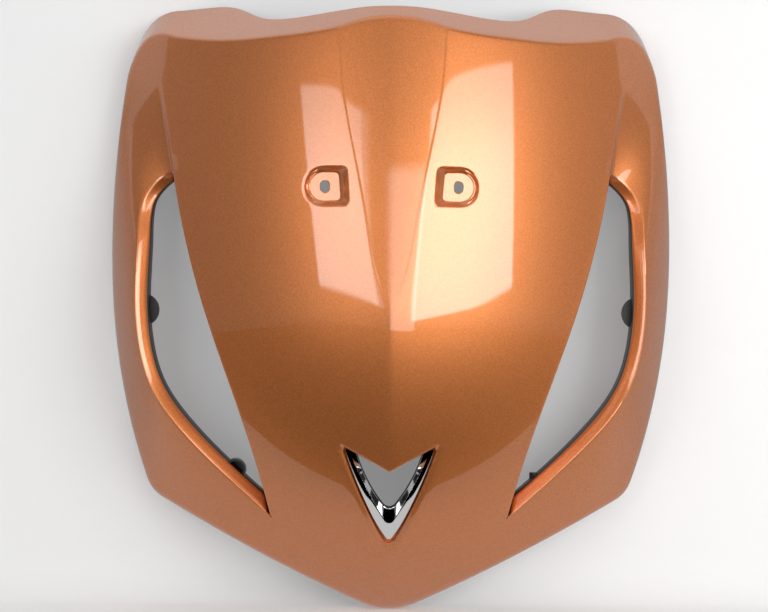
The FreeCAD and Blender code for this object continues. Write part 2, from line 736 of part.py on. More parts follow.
if __name__ == "__main__":
    os.makedirs("parts", exist_ok=True)
    pieces = (("front_cover", make_cover()), ("v_garnish", make_garnish()), ("push_nuts", make_push_nuts()))
    for name, shape in pieces:
        shape.exportStep("parts/" + name + ".step")
        print(name, shape.isValid(), round(shape.Volume), len(shape.Solids))
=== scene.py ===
import math

import bmesh
import bpy
from bpy.props import FloatProperty, FloatVectorProperty, PointerProperty
from mathutils import Matrix, Vector


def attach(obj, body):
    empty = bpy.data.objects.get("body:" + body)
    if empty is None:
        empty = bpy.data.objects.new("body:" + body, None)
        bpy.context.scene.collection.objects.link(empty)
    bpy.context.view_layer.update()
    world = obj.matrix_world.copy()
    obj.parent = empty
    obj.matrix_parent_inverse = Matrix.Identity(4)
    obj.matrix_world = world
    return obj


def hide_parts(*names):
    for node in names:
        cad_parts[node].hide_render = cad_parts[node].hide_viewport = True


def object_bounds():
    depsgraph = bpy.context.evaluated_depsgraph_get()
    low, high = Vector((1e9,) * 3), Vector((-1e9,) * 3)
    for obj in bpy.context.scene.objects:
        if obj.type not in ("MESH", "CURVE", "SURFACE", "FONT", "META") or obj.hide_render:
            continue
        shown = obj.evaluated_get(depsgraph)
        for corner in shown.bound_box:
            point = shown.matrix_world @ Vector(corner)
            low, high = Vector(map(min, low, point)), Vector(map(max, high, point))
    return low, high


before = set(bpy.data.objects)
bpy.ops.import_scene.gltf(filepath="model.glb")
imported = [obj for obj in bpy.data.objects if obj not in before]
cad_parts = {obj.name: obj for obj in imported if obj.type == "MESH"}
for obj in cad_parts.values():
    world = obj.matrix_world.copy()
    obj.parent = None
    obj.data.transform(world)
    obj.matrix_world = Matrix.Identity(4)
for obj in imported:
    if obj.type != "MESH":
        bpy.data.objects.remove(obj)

bl_info = {
    "name": "Scooter Front Cover",
    "version": (1, 0, 0),
    "blender": (4, 2, 0),
    "location": "View3D > Sidebar > Cover",
    "description": "Dresses a scooter's front cover: painted skin, V garnish, inside fittings, studio",
    "category": "Object",
}

CAD_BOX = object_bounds()
MM = 0.001

# Skin, in millimetres; depth is counted back from the foremost point
CREST_TO_SEAT = 112.0
CROWN_SLOPE = 0.15
CROWN_BEND = 0.0022
UPPER_RADIUS = 1090.0
LOWER_RADIUS = 285.0
# The keel is this round at the facet's apex, and softer by a share of the way below it
KEEL_ROUND = 1.5
KEEL_SPREAD = 0.03
FACET_APEX_Z = -4.0
FACET_EDGE = [(-4, 0), (14, 8.2), (52, 17), (106, 27.3), (152, 35.5), (200, 38.5)]
FACET_SOFTNESS = 0.5
FACET_ROOF = 0.05
FACET_ROOF_RADIUS = 3.0
FACET_STEP = 0.2
FACET_STEP_WIDTH = 2.0
FACET_FADE = 20.0
FACET_FADE_START = 0.3
SIDE_HALF_WIDTH = 208.7
SIDE_WIDEST_Z = 45.0
SIDE_UPPER_RADIUS = 750.0
SIDE_LOWER_RADIUS = 576.0
SIDE_TOP_Z = 162.0
LOWER_CORNER_Z = -139.5
LOWER_CORNER_RADIUS = 10.0
LOWER_CORNER_LEAN = 0.3
CHIN_TIP_Z = -229.3
CHIN_TIP_RADIUS = 45.0
EDGE_RETURN = 14.0
FLANGE_CLIMB = 0.5
# Pulls on the curve of the top corner, from the flange line and from the side
CORNER_FROM_FLANGE = 20.0
CORNER_FROM_SIDE = (-8.0, 24.0)
FLANGE_LINE = [(0, 189.5), (18, 187.3), (36, 181.3), (85, 166.4), (120, 156.0), (160, 147.0)]
FLANGE_REAR = [(0, 43.2), (18, 47.5), (40, 59.5), (62, 68), (85, 80), (97, 94), (109, 117), (121, 135),
               (140, 146), (160, 152)]
PANEL_EDGE = [(-240, 72), (-137, 88.4), (-66, 110.3), (4, 135.4), (91, 157.4), (145, 166.5),
              (240, 190)]
PANEL_STEP = 12.0
PANEL_STEP_TOP_Z = 162.0
STEP_FOOT = 2.4
WING_CREST = 28.0
WING_CREST_Z = -20.0
WING_CREST_TOP_Z = 135.0
WING_SKEW = 1.3
WING_TOP_SKEW = 2.0
WING_SKEW_FADE = (40.0, 100.0)
WING_LEAST_WIDTH = 10.0
SLOT_TOP_Z = 97.0
SLOT_TIP_Z = -152.0
SLOT_RIDGE = [(172, 88), (179, 79), (183.2, 50), (184.3, 12), (181.6, -27), (172.5, -58),
              (151, -89), (117, -123)]
RIDGE_DEPTH_AT_TIP = 70.0
RIDGE_LEAN = 0.068
SLOT_FLANGE_END = 20.0
POCKET_FLOOR_DEPTH = 19.5
POCKET_OUTER_X = 55.5
POCKET_INNER_TOP_X = 35.7
POCKET_INNER_LOW_X = 33.9
POCKET_Z = 82.2
POCKET_HEIGHT = 17.0
POCKET_CORNER = 2.5
POCKET_CORNER_GROWTH = 0.25
POCKET_END_GAP = 0.1
POCKET_RIM = (4.7, 4.4)
POCKET_FOOT = (2.0, -0.4)
POCKET_FLOOR_LEAN = (0.22, 0.08)
PLATE_SLOT_X = 46.3
PLATE_SLOT_WIDTH = 6.4
PLATE_SLOT_LENGTH = 8.4
V_MID = (17.0, -135.0)
V_LOW = (7.9, -165.3)
V_HIGH = (35.7, -101.0)
V_BOW = 1.75
V_BOTTOM_RADIUS = 7.0
V_BOTTOM_SHARE = 0.62
V_NOTCH_Z = -114.7
V_NOTCH_SLOPE = 0.565
V_TIP_RADIUS = 2.5
V_TIP_SHARE = 0.25
V_FLOOR = 8.0
GARNISH_INSET = 4.22
GARNISH_NOTCH_INSET = 1.26
GARNISH_FACE = 2.5
GARNISH_LIP = 0.3
GARNISH_LEAN = 0.03
GARNISH_BOTTOM_RADIUS = 2.2
# Low end, high end, bow and bottom radius of the garnish's ridge and of the open window
GARNISH_RIDGE = [(4.0, -149.7), (28.7, -100.7), 0.8, 4.0]
WINDOW = [(3.2, -142.0), (22.2, -106.4), 1.9, 6.0]
WINDOW_RUN_ON = 25.0

# The garnish's pins and the pads round them: radius and run from the recess's floor
SIDE_PIN = (22.6, -117.5)
PIN_PROFILE = [(1.75, 0.0), (1.75, 9.5), (0.0, 9.5)]
PAD_PROFILE = [(3.4, 1.2), (3.4, 5.2), (0.0, 5.2)]

# Fittings on the inside
BOSS_X = 140.0
BOSS_Z = 112.0
BOSS_RADIUS = 5.5
BOSS_HOLE = 2.1
BOSS_HOLE_DEPTH = 16.0
SKIN_ROOT = 1.0
BEVEL_CLEARANCE = 4.0
PANEL_CLEARANCE = 1.0
RIB_STEPS = 40
RIB_MARGIN = 2.0
RIB_REACH = 19.5
RIB_THICKNESS = 2.0
RIB_BELOW_SEAT = 9.0
LUG_X = 181.0
LUG_BOSS_X = 183.0
LUG_Z = -4.0
# Radius and depth
LUG_PROFILE = [(0, 97), (12, 97), (12, 100), (0, 100)]
LUG_BOSS_PROFILE = [(4.5, 99), (4.5, 110), (1.6, 110), (1.6, 99), (0, 99)]
# Place as x, depth and z, then radius and run
CUP_PLACE = (-112.0, 82.2, -119.5)
CUP_PROFILE = [(0.0, 12.0), (8.0, 12.0), (8.0, 0.0), (6.2, 0.0), (6.2, 10.2), (0.0, 10.2)]
# Square block under the round post: width, depth and height
POST_BLOCK = (18.0, 12.0, 8.0)
POST_BLOCK_X = 97.8
POST_BLOCK_Z = -136.0
POST_X = 105.0
POST_PROFILE = [(3.3, 0.0), (3.3, 8.0), (0.0, 8.0)]

# Counts of cells in the grids and of steps in round lines
FACET_COLUMNS = 22
CREASE_COLUMNS = 8
SIDE_COLUMNS = 50
LOW_ROWS = 84
TOP_ROWS = 36
WING_COLUMNS = 24
ROUND_ROWS = 7
BACK_ROWS = 6
POCKET_RINGS = 4
V_RINGS = 8
HOLE_STEPS = 48
TURNED_STEPS = 32
POCKET_CORNER_STEPS = 16
V_BOTTOM_STEPS = 10
V_SIDE_STEPS = 24
V_TIP_HALF_STEPS = 6
GARNISH_COLUMNS = 90

# Columns gather in a band beside the facet's crease, and again beyond it
CREASE_BAND = 2.6
CREASE_LEAST = 3.0
SIDE_GATHER = 0.35

# How far round edges reach onto the skin, and from where on the outline they are widest
TOP_INSET = 2.2
SIDE_INSET = 5.0
WIDEST_INSET_AT = 1.3
EDGE_FILLET = 1.2

# Gaps that close when patches and halves are welded, and how near the middle counts as on it
SKIN_WELD = 0.02
GARNISH_WELD = 0.005
FINE_WELD = 0.001
CENTRE_SNAP = 0.01

# Sharpest turn, in degrees, that is still shaded smooth
SKIN_SMOOTH = 55
FITTING_SMOOTH = 40

# Where searches for a height or a depth start
FIRST_CORNER_Z = 190.0
FIRST_COLUMN_Z = 180.0
FIRST_RISE = 20.0
FIRST_DEPTH = 115.0

# Rounds in which a height and its depth settle
CORNER_ROUNDS = 5
CREASE_ROUNDS = 12
COLUMN_ROUNDS = 8

# Steps along a curve, either way, that give its direction
CORNER_NUDGE = 0.02
RIDGE_NUDGE = 0.002


def smooth_curve(points):
    """A natural cubic spline through given (place, value) pairs."""
    places = [p[0] for p in points]
    values = [p[1] for p in points]
    last = len(points) - 1
    gaps = [places[i + 1] - places[i] for i in range(last)]
    rates = [(values[i + 1] - values[i]) / gaps[i] for i in range(last)]
    bends = [0.0] * (last + 1)
    lower = [0.0] * (last + 1)
    carried = [0.0] * (last + 1)
    for i in range(1, last):
        pivot = 2 * (gaps[i - 1] + gaps[i]) - gaps[i - 1] * lower[i - 1]
        lower[i] = gaps[i] / pivot
        carried[i] = (6 * (rates[i] - rates[i - 1]) - gaps[i - 1] * carried[i - 1]) / pivot
    for i in range(last - 1, 0, -1):
        bends[i] = carried[i] - lower[i] * bends[i + 1]

    def value(place):
        i = 0
        while i < last - 1 and place > places[i + 1]:
            i += 1
        gap = gaps[i]
        a = places[i + 1] - place
        b = place - places[i]
        return ((bends[i] * a ** 3 + bends[i + 1] * b ** 3) / (6 * gap)
                + (values[i] / gap - bends[i] * gap / 6) * a
                + (values[i + 1] / gap - bends[i + 1] * gap / 6) * b)

    return value


def ease(share):
    share = min(max(share, 0.0), 1.0)
    return share * share * (3 - 2 * share)


def fade(value, start, run):
    """Climbs softly from 0 to 1 over a run."""
    return ease((value - start) / run)


def blend(a, b, share):
    return a + (b - a) * share


def between(a, b, share):
    """A spot between two (x, z) spots."""
    return blend(a[0], b[0], share), blend(a[1], b[1], share)


def bezier(poles, t):
    """A spot on a Bezier curve, by blending its poles in pairs until one is left."""
    while len(poles) > 1:
        poles = [between(a, b, t) for a, b in zip(poles, poles[1:])]
    return poles[0]


def last_true(test, high=1.0, steps=24):
    """Halves the range from 0 to high, down to the last place where a test holds."""
    low = 0.0
    for _ in range(steps):
        middle = (low + high) / 2
        if test(middle):
            low = middle
        else:
            high = middle
    return low


def square_to(before, after):
    """Unit vector square to a run, on its right."""
    run_x, run_z = after[0] - before[0], after[1] - before[1]
    size = math.hypot(run_x, run_z)
    return run_z / size, -run_x / size


def running_lengths(points):
    lengths = [0.0]
    for a, b in zip(points, points[1:]):
        lengths.append(lengths[-1] + math.dist(a, b))
    return lengths


panel_edge = smooth_curve(PANEL_EDGE)
facet_edge = smooth_curve(FACET_EDGE)
flange_height = smooth_curve(FLANGE_LINE)
flange_rear = smooth_curve(FLANGE_REAR)


def arc_depth(z, radius):
    return radius - math.sqrt(radius ** 2 - z ** 2)


def facet_half_width(z):
    return facet_edge(z) if z > FACET_APEX_Z else 0.0


def keel_depth(z):
    return arc_depth(z, UPPER_RADIUS if z > 0 else LOWER_RADIUS)


def facet_roof(x):
    return FACET_ROOF * (math.hypot(x, FACET_ROOF_RADIUS) - FACET_ROOF_RADIUS)


def facet_depth(x, z):
    """The facet is a little crowned, and meets the panel's sides at its edge."""
    half = facet_edge(z)
    level = keel_depth(z) + CROWN_SLOPE * half - facet_roof(half)
    return level + CROWN_BEND * x ** 2 + facet_roof(x)


def panel_depth(x, z):
    """Two crowned sides that meet in a soft keel, which the facet truncates above the crest."""
    keel = keel_depth(z)
    across = math.hypot(x, KEEL_ROUND + KEEL_SPREAD * max(FACET_APEX_Z - z, 0))
    crown = keel + CROWN_SLOPE * across + CROWN_BEND * across ** 2
    if z < FACET_APEX_Z - FACET_FADE:
        return crown
    facet = facet_depth(x, z)
    past_step = ease((abs(x) - facet_edge(z)) / FACET_STEP_WIDTH + 1)
    step = FACET_STEP * (1 - past_step) * ease((z - FACET_APEX_Z) / FACET_FADE - FACET_FADE_START)
    return (crown + facet + math.hypot(crown - facet, FACET_SOFTNESS)) / 2 + step


def side_half_width(z):
    radius = SIDE_UPPER_RADIUS if z > SIDE_WIDEST_Z else SIDE_LOWER_RADIUS
    return SIDE_HALF_WIDTH - arc_depth(z - SIDE_WIDEST_Z, radius)


def wing_depth(x, z):
    """The wing: behind the panel's edge by a step, and swollen between the edge and the side."""
    edge = panel_edge(z)
    share = max((x - edge) / max(side_half_width(z) - edge, WING_LEAST_WIDTH), 0)
    middle = (PANEL_STEP_TOP_Z + SLOT_TIP_Z) / 2
    step = PANEL_STEP * max(1 - ((z - middle) / (PANEL_STEP_TOP_Z - middle)) ** 4, 0) ** 1.5
    reach = (WING_CREST_TOP_Z if z > WING_CREST_Z else SLOT_TIP_Z) - WING_CREST_Z
    swell = WING_CREST * max(1 - ((z - WING_CREST_Z) / reach) ** 2, 0) ** 1.5
    skew = blend(WING_SKEW, WING_TOP_SKEW, fade(z, *WING_SKEW_FADE))
    return panel_depth(x, z) + step * max(1 - share, 0) - swell * math.sin(math.pi * share ** skew)


def ridge_depth(z):
    return RIDGE_DEPTH_AT_TIP + RIDGE_LEAN * (z - SLOT_TIP_Z)


def at(x, depth, z):
    return Vector((x, depth - CREST_TO_SEAT, z))


def on_panel(x, z, behind=0.0):
    return at(x, panel_depth(x, z) + behind, z)


def on_wing(x, z):
    return at(x, wing_depth(x, z), z)


def along(points):
    """A place on a line of (x, z) points, by its share of the whole length."""
    lengths = running_lengths(points)

    def place(share):
        target = min(max(share, 0.0), 1.0) * lengths[-1]
        i = 1
        while i < len(points) - 1 and lengths[i] < target:
            i += 1
        part = (target - lengths[i - 1]) / max(lengths[i] - lengths[i - 1], 1e-9)
        return between(points[i - 1], points[i], part)

    return place


def smooth_path(points):
    """A smooth curve through (x, z) points, as a function of its share."""
    lengths = running_lengths(points)
    across = smooth_curve([(s, p[0]) for s, p in zip(lengths, points)])
    upward = smooth_curve([(s, p[1]) for s, p in zip(lengths, points)])
    return lambda share: (across(share * lengths[-1]), upward(share * lengths[-1]))


def rounded_outline(points, radii, steps):
    """A closed line of (x, z) points with round corners."""
    outline = []
    count = len(points)
    for i in range(count):
        here = Vector(points[i])
        before = (Vector(points[i - 1]) - here).normalized()
        after = (Vector(points[(i + 1) % count]) - here).normalized()
        half = before.angle(after) / 2
        centre = here + (before + after).normalized() * radii[i] / math.sin(half)
        start = here + before * radii[i] / math.tan(half) - centre
        end = here + after * radii[i] / math.tan(half) - centre
        turn = start.angle_signed(end)
        for k in range(steps + 1):
            swung = start.copy()
            swung.rotate(Matrix.Rotation(-turn * k / steps, 2))
            outline.append(tuple(centre + swung))
    return outline


def patch(mesh, columns, rows, place, skip=(), bare_from=None):
    """A grid of quads whose corners go where place(column, row) says.

    skip lists blocks left open; columns from bare_from on stay unpainted.
    """
    made = bmesh.ops.create_grid(mesh, x_segments=columns, y_segments=rows, size=0.5)["verts"]
    faces = {face for vertex in made for face in vertex.link_faces}
    opened = []
    for face in faces:
        middle = face.calc_center_median()
        column = (middle.x + 0.5) * columns
        row = (middle.y + 0.5) * rows
        if any(c0 < column < c1 and r0 < row < r1 for c0, c1, r0, r1 in skip):
            opened.append(face)
        if bare_from is not None and column > bare_from:
            face.material_index = 1
    spots = [(v, round((v.co.x + 0.5) * columns), round((v.co.y + 0.5) * rows)) for v in made]
    for vertex, column, row in spots:
        vertex.co = place(column, row)
    bmesh.ops.delete(mesh, geom=opened, context="FACES")


def patch_lines(mesh, lines):
    """A grid of quads between lines that have the same number of points."""
    patch(mesh, len(lines) - 1, len(lines[0]) - 1, lambda column, row: lines[column][row])


# Outline of the cover, as the corner line between the skin and its turned edge


def corner_spot(t):
    """The top corner, where the flange line swings down into the side."""
    depth = FIRST_DEPTH
    for _ in range(CORNER_ROUNDS):
        side_z = SIDE_TOP_Z + FLANGE_CLIMB * (depth - CREST_TO_SEAT)
        start_x, start_z = FLANGE_LINE[-1]
        start_z += FLANGE_CLIMB * depth
        side_x = side_half_width(side_z)
        pull_x, pull_z = CORNER_FROM_SIDE
        poles = [(start_x, start_z), (start_x + CORNER_FROM_FLANGE, start_z),
                 (side_x + pull_x, side_z + pull_z), (side_x, side_z)]
        x, z = bezier(poles, t)
        depth = wing_depth(x, z)
    return x, z


def top_crease(x):
    """Height of the crease between the skin and the top flange."""
    if x > FLANGE_LINE[-1][0]:
        return corner_spot(last_true(lambda t: corner_spot(t)[0] < x))[1]
    z = flange_height(x) + FIRST_RISE
    for _ in range(CREASE_ROUNDS):
        z = flange_height(x) + FLANGE_CLIMB * wing_depth(x, z)
    return z


def find_panel_corner():
    """Where the panel's edge line runs out into the top crease."""
    z = FIRST_CORNER_Z
    for _ in range(CREASE_ROUNDS):
        z = top_crease(panel_edge(z) - EDGE_FILLET)
    return z, last_true(lambda t: corner_spot(t)[0] < panel_edge(z) + STEP_FOOT)


PANEL_TOP_Z, CORNER_START = find_panel_corner()
CHIN_SLOPE = math.atan2(LOWER_CORNER_Z - CHIN_TIP_Z, side_half_width(LOWER_CORNER_Z))
CHIN_LOW_Z = CHIN_TIP_Z + CHIN_TIP_RADIUS * (1 / math.cos(CHIN_SLOPE) - 1)


def bottom_edge(x):
    if x < CHIN_TIP_RADIUS * math.sin(CHIN_SLOPE):
        return CHIN_LOW_Z + arc_depth(x, CHIN_TIP_RADIUS)
    return CHIN_TIP_Z + x * math.tan(CHIN_SLOPE)


def rim(s):
    """The outline below the top crease: corner 0 to 1, side to 2, lower corner to 3, bottom edge to 4."""
    if s <= 1:
        t = blend(CORNER_START, 1.0, s)
        return *corner_spot(t), *square_to(corner_spot(t - CORNER_NUDGE), corner_spot(t + CORNER_NUDGE))
    corner_x = side_half_width(LOWER_CORNER_Z)
    low_z = LOWER_CORNER_Z + LOWER_CORNER_RADIUS
    in_x = corner_x - LOWER_CORNER_RADIUS * math.cos(CHIN_SLOPE)
    if s <= 2:
        z = blend(corner_spot(1.0)[1], low_z, s - 1)
        lean = (z - SIDE_WIDEST_Z) / (SIDE_UPPER_RADIUS if z > SIDE_WIDEST_Z else SIDE_LOWER_RADIUS)
        return side_half_width(z), z, -math.cos(lean), -math.sin(lean)
    if s <= 3:
        t = s - 2
        poles = [(side_half_width(low_z), low_z), (corner_x, LOWER_CORNER_Z), (in_x, bottom_edge(in_x))]
        turn = blend(math.pi - LOWER_CORNER_LEAN, math.pi / 2 + CHIN_SLOPE, ease(t))
        return *bezier(poles, t), math.cos(turn), math.sin(turn)
    x = blend(in_x, 0.0, s - 3)
    lean = math.asin(min(x / CHIN_TIP_RADIUS, math.sin(CHIN_SLOPE)))
    return x, bottom_edge(x), -math.sin(lean), math.cos(lean)


def edge_inset(s):
    """How far the round edge reaches onto the skin: tight along the top, wider down the sides."""
    return blend(TOP_INSET, SIDE_INSET, ease(s / WIDEST_INSET_AT))


def rim_inset(s):
    x, z, inward_x, inward_z = rim(s)
    inset = edge_inset(s)
    return x + inward_x * inset, z + inward_z * inset


# Centre panel


def column_x(column, z):
    """Columns gather on the facet's crease, and spread to the panel's edge."""
    crease = max(facet_half_width(z), CREASE_LEAST)
    band = min(CREASE_BAND, crease / 2)
    even = FACET_COLUMNS - CREASE_COLUMNS
    if column <= even:
        return (crease - band) * column / even
    if column <= FACET_COLUMNS:
        return crease - band + band * (column - even) / CREASE_COLUMNS
    share = (column - FACET_COLUMNS) / SIDE_COLUMNS
    return blend(crease, panel_edge(z) - EDGE_FILLET, share * blend(SIDE_GATHER, 1.0, share))


PANEL_COLUMNS = FACET_COLUMNS + SIDE_COLUMNS
PANEL_ROWS = LOW_ROWS + TOP_ROWS

# Lowest height on the centre line, how its lower end bends, and where the columns' shares are taken
PANEL_LOW_Z = -196.0
PANEL_LOW_BEND = 1.6
PANEL_SHARE_Z = -170.0


def panel_column_ends():
    """Lowest and highest height of each column."""
    ends = []
    for column in range(PANEL_COLUMNS + 1):
        share = column_x(column, PANEL_SHARE_Z) / column_x(PANEL_COLUMNS, PANEL_SHARE_Z)
        low = blend(PANEL_LOW_Z, SLOT_TIP_Z, share ** PANEL_LOW_BEND)
        high = FIRST_COLUMN_Z
        for _ in range(COLUMN_ROUNDS):
            high = top_crease(column_x(column, high)) - TOP_INSET
        ends.append((low, high))
    return ends


COLUMN_ENDS = panel_column_ends()
SLOT_TOP_SHARE = (SLOT_TOP_Z - SLOT_TIP_Z) / (COLUMN_ENDS[-1][1] - SLOT_TIP_Z)


def panel_spot(column, row):
    if row <= LOW_ROWS:
        share = SLOT_TOP_SHARE * row / LOW_ROWS
    else:
        share = blend(SLOT_TOP_SHARE, 1.0, (row - LOW_ROWS) / TOP_ROWS)
    low, high = COLUMN_ENDS[column]
    z = blend(low, high, share)
    return column_x(column, z), z


def panel_place(column, row):
    return on_panel(*panel_spot(column, row))


def nearest_column(x, z):
    return min(range(PANEL_COLUMNS + 1), key=lambda c: abs(column_x(c, z) - x))


def nearest_row(column, z):
    return min(range(PANEL_ROWS + 1), key=lambda r: abs(panel_spot(column, r)[1] - z))


def block(first, outer_x, low_z, high_z, z):
    """The grid's cells from a first column to a place across, between two heights."""
    return first, nearest_column(outer_x, z), nearest_row(first, low_z), nearest_row(first, high_z)


def block_walk(c0, c1, r0, r1):
    """Grid corners round a block: its bottom, right side, top and left side."""
    walk = [(c, r0) for c in range(c0, c1)]
    walk += [(c1, r) for r in range(r0, r1)]
    walk += [(c, r1) for c in range(c1, c0, -1)]
    walk += [(c0, r) for r in range(r1, r0 - 1, -1)]
    return walk


def panel_run(start, end, steps):
    """Points on the panel's skin from one spot to another."""
    return [on_panel(*between(start, end, k / steps)) for k in range(steps + 1)]


# Openings in the panel's grid: outermost place across, lowest and highest height
POCKET_OPENING = (75.0, POCKET_Z - 24, POCKET_Z + 24)
V_OPENING = (50.0, -187.0, -84.0)


def add_panel(mesh):
    pocket = block(FACET_COLUMNS + 1, *POCKET_OPENING, POCKET_Z)
    chin_v = block(0, *V_OPENING, V_MID[1])
    patch(mesh, PANEL_COLUMNS, PANEL_ROWS, panel_place, skip=(pocket, chin_v))
    add_pocket(mesh, pocket)
    add_v_recess(mesh, chin_v)


def pocket_outline(outset, inner_outset):
    top = POCKET_Z + POCKET_HEIGHT / 2 + outset
    low = POCKET_Z - POCKET_HEIGHT / 2 - outset
    outer = POCKET_OUTER_X + outset
    round_end = POCKET_HEIGHT / 2 + outset - POCKET_END_GAP
    corner = POCKET_CORNER + POCKET_CORNER_GROWTH * max(outset, 0)
    points = [(outer, low), (outer, top), (POCKET_INNER_TOP_X - inner_outset, top),
              (POCKET_INNER_LOW_X - inner_outset, low)]
    return rounded_outline(points, [round_end, round_end, corner, corner], POCKET_CORNER_STEPS)


def ray_spot(outline, angle):
    """Where a ray from the middle of the plate hole meets a closed line round it."""
    middle = Vector((PLATE_SLOT_X, POCKET_Z))
    ray = Vector((math.cos(angle), math.sin(angle)))
    best = 0.0
    for a, b in zip(outline, outline[1:] + outline[:1]):
        run = Vector(b) - Vector(a)
        off = Vector(a) - middle
        cross = ray.x * run.y - ray.y * run.x
        if abs(cross) < 1e-9:
            continue
        reach = (off.x * run.y - off.y * run.x) / cross
        part = (off.x * ray.y - off.y * ray.x) / cross
        if reach > 0 and -1e-6 <= part <= 1 + 1e-6:
            best = max(best, reach)
    return PLATE_SLOT_X + ray.x * best, POCKET_Z + ray.y * best


def pocket_floor(x, z):
    lean_x, lean_z = POCKET_FLOOR_LEAN
    return POCKET_FLOOR_DEPTH + lean_x * (x - PLATE_SLOT_X) + lean_z * (z - POCKET_Z)


def plate_hole():
    radius = PLATE_SLOT_WIDTH / 2
    half = PLATE_SLOT_LENGTH / 2 - radius
    outline = []
    for k in range(HOLE_STEPS):
        turn = 2 * math.pi * k / HOLE_STEPS
        outline.append((PLATE_SLOT_X + radius * math.cos(turn),
                        POCKET_Z + radius * math.sin(turn) + math.copysign(half, math.sin(turn))))
    return outline


# How far out from the rim, share of the way down the wall, and how far behind the skin where that is set
POCKET_WALL = [(2.4, 0.0, 0.0), (1.2, 0.0, 0.02), (0.35, 0.0, 0.25), (-0.1, 0.02, 0.9), (-0.2, 0.1, 1.8),
               (0.0, 0.5, 0.0), (0.0, 0.85, 0.0), (0.0, 1.0, 0.0)]
# Share of the way from the wall's foot to the hole, and rise above the floor
POCKET_FLOOR = [(0.02, 0.5), (0.06, 0.12), (0.12, 0.0), (0.16, 0.0), (0.5, 0.0), (0.9, 0.0), (0.97, 0.0),
                (1.0, -0.3)]


def add_pocket(mesh, cells):
    """Pocket for a plate screw: rings over the rim, down the wall and in to the hole."""
    walk = block_walk(*cells)
    outlines = []
    for out, down, _ in POCKET_WALL:
        outlines.append(pocket_outline(*(outset + out for outset in between(POCKET_RIM, POCKET_FOOT, down))))
    outlines.append(plate_hole())
    spots = []
    for column, row in walk:
        x, z = panel_spot(column, row)
        angle = math.atan2(z - POCKET_Z, x - PLATE_SLOT_X)
        *rings, hole = [ray_spot(outline, angle) for outline in outlines]
        line = panel_run((x, z), rings[0], POCKET_RINGS)
        line.append(on_panel(*rings[1], POCKET_WALL[1][2]))
        skin = panel_depth(*rings[2])
        deep = pocket_floor(*rings[-1]) - skin
        for (px, pz), (_, down, behind) in zip(rings[2:-1], POCKET_WALL[2:]):
            line.append(at(px, skin + (behind or deep * down), pz))
        for part, rise in POCKET_FLOOR:
            px, pz = between(rings[-1], hole, part)
            line.append(at(px, pocket_floor(px, pz) - rise, pz))
        spots.append(line)
    patch_lines(mesh, spots)


# V recess on the chin


def v_slopes():
    x0, z0 = V_MID
    keel_slope = -z0 / math.sqrt(LOWER_RADIUS ** 2 - z0 ** 2)
    return CROWN_SLOPE + 2 * CROWN_BEND * x0, -keel_slope


def v_plane(x, z, behind):
    """Depth of the plane that the recess lies in, or of one behind it."""
    x0, z0 = V_MID
    across, upward = v_slopes()
    middle = arc_depth(z0, LOWER_RADIUS) + CROWN_SLOPE * x0 + CROWN_BEND * x0 ** 2
    return middle + across * (x - x0) + upward * (z - z0) + behind * math.sqrt(1 + across ** 2 + upward ** 2)


def floor_place(x, z):
    """A place on the recess's floor."""
    return at(x, v_plane(abs(x), z, V_FLOOR), z)


def bowed_side(low, high, bow):
    """Centre and radius of the arc that runs from low to high and bows outwards."""
    run_x, run_z = high[0] - low[0], high[1] - low[1]
    length = math.hypot(run_x, run_z)
    radius = length ** 2 / (8 * bow) + bow / 2
    reach = (radius - bow) / length
    return ((low[0] + high[0]) / 2 - run_z * reach, (low[1] + high[1]) / 2 + run_x * reach), radius


def arc_points(centre, radius, start, end, steps):
    """Points on a circle from one of its spots to another, the short way round."""
    first = math.atan2(start[1] - centre[1], start[0] - centre[0])
    turn = math.atan2(end[1] - centre[1], end[0] - centre[0]) - first
    turn = (turn + math.pi) % (2 * math.pi) - math.pi
    angles = [first + turn * k / steps for k in range(steps + 1)]
    return [(centre[0] + radius * math.cos(a), centre[1] + radius * math.sin(a)) for a in angles]


def toward(centre, spot, radius):
    return between(centre, spot, radius / math.dist(centre, spot))


def low_turn(centre, radius, turn):
    """The round bottom that joins a bowed side to its mirror image, from the centre line to the side."""
    middle = (0.0, centre[1] - math.sqrt((radius - turn) ** 2 - centre[0] ** 2))
    low = (0.0, middle[1] - turn)
    return arc_points(middle, turn, low, toward(centre, middle, radius), V_BOTTOM_STEPS)


def notch_z(inset):
    """Height of the notch's line where it meets the centre line, moved in by an inset."""
    return V_NOTCH_Z - inset * math.hypot(1, V_NOTCH_SLOPE)


def v_line(inset, notch_inset, bottom_radius=None):
    """Place on the recess's half outline: 0 to 1 from the bottom to the tip, 1 to 2 on to the notch."""
    centre, radius = bowed_side(V_LOW, V_HIGH, V_BOW)
    radius -= inset
    bottom = low_turn(centre, radius, bottom_radius or V_BOTTOM_RADIUS - V_BOTTOM_SHARE * inset)
    round_tip = V_TIP_RADIUS - V_TIP_SHARE * inset
    square = math.hypot(1, V_NOTCH_SLOPE)
    base = notch_z(notch_inset + round_tip)
    half_b = V_NOTCH_SLOPE * (base - centre[1]) - centre[0]
    rest = centre[0] ** 2 + (base - centre[1]) ** 2 - (radius - round_tip) ** 2
    tip_x = (math.sqrt(half_b ** 2 - square ** 2 * rest) - half_b) / square ** 2
    tip = (tip_x, base + V_NOTCH_SLOPE * tip_x)
    side_high = toward(centre, tip, radius)
    notch_start = (tip[0] - V_NOTCH_SLOPE / square * round_tip, tip[1] + round_tip / square)
    turn = arc_points(tip, round_tip, side_high, notch_start, 2 * V_TIP_HALF_STEPS)
    side = arc_points(centre, radius, bottom[-1], side_high, V_SIDE_STEPS)
    first = along(bottom + side[1:] + turn[1:V_TIP_HALF_STEPS + 1])
    second = along(turn[V_TIP_HALF_STEPS:] + [(0.0, notch_z(notch_inset))])
    return lambda s: first(s) if s <= 1 else second(s - 1)


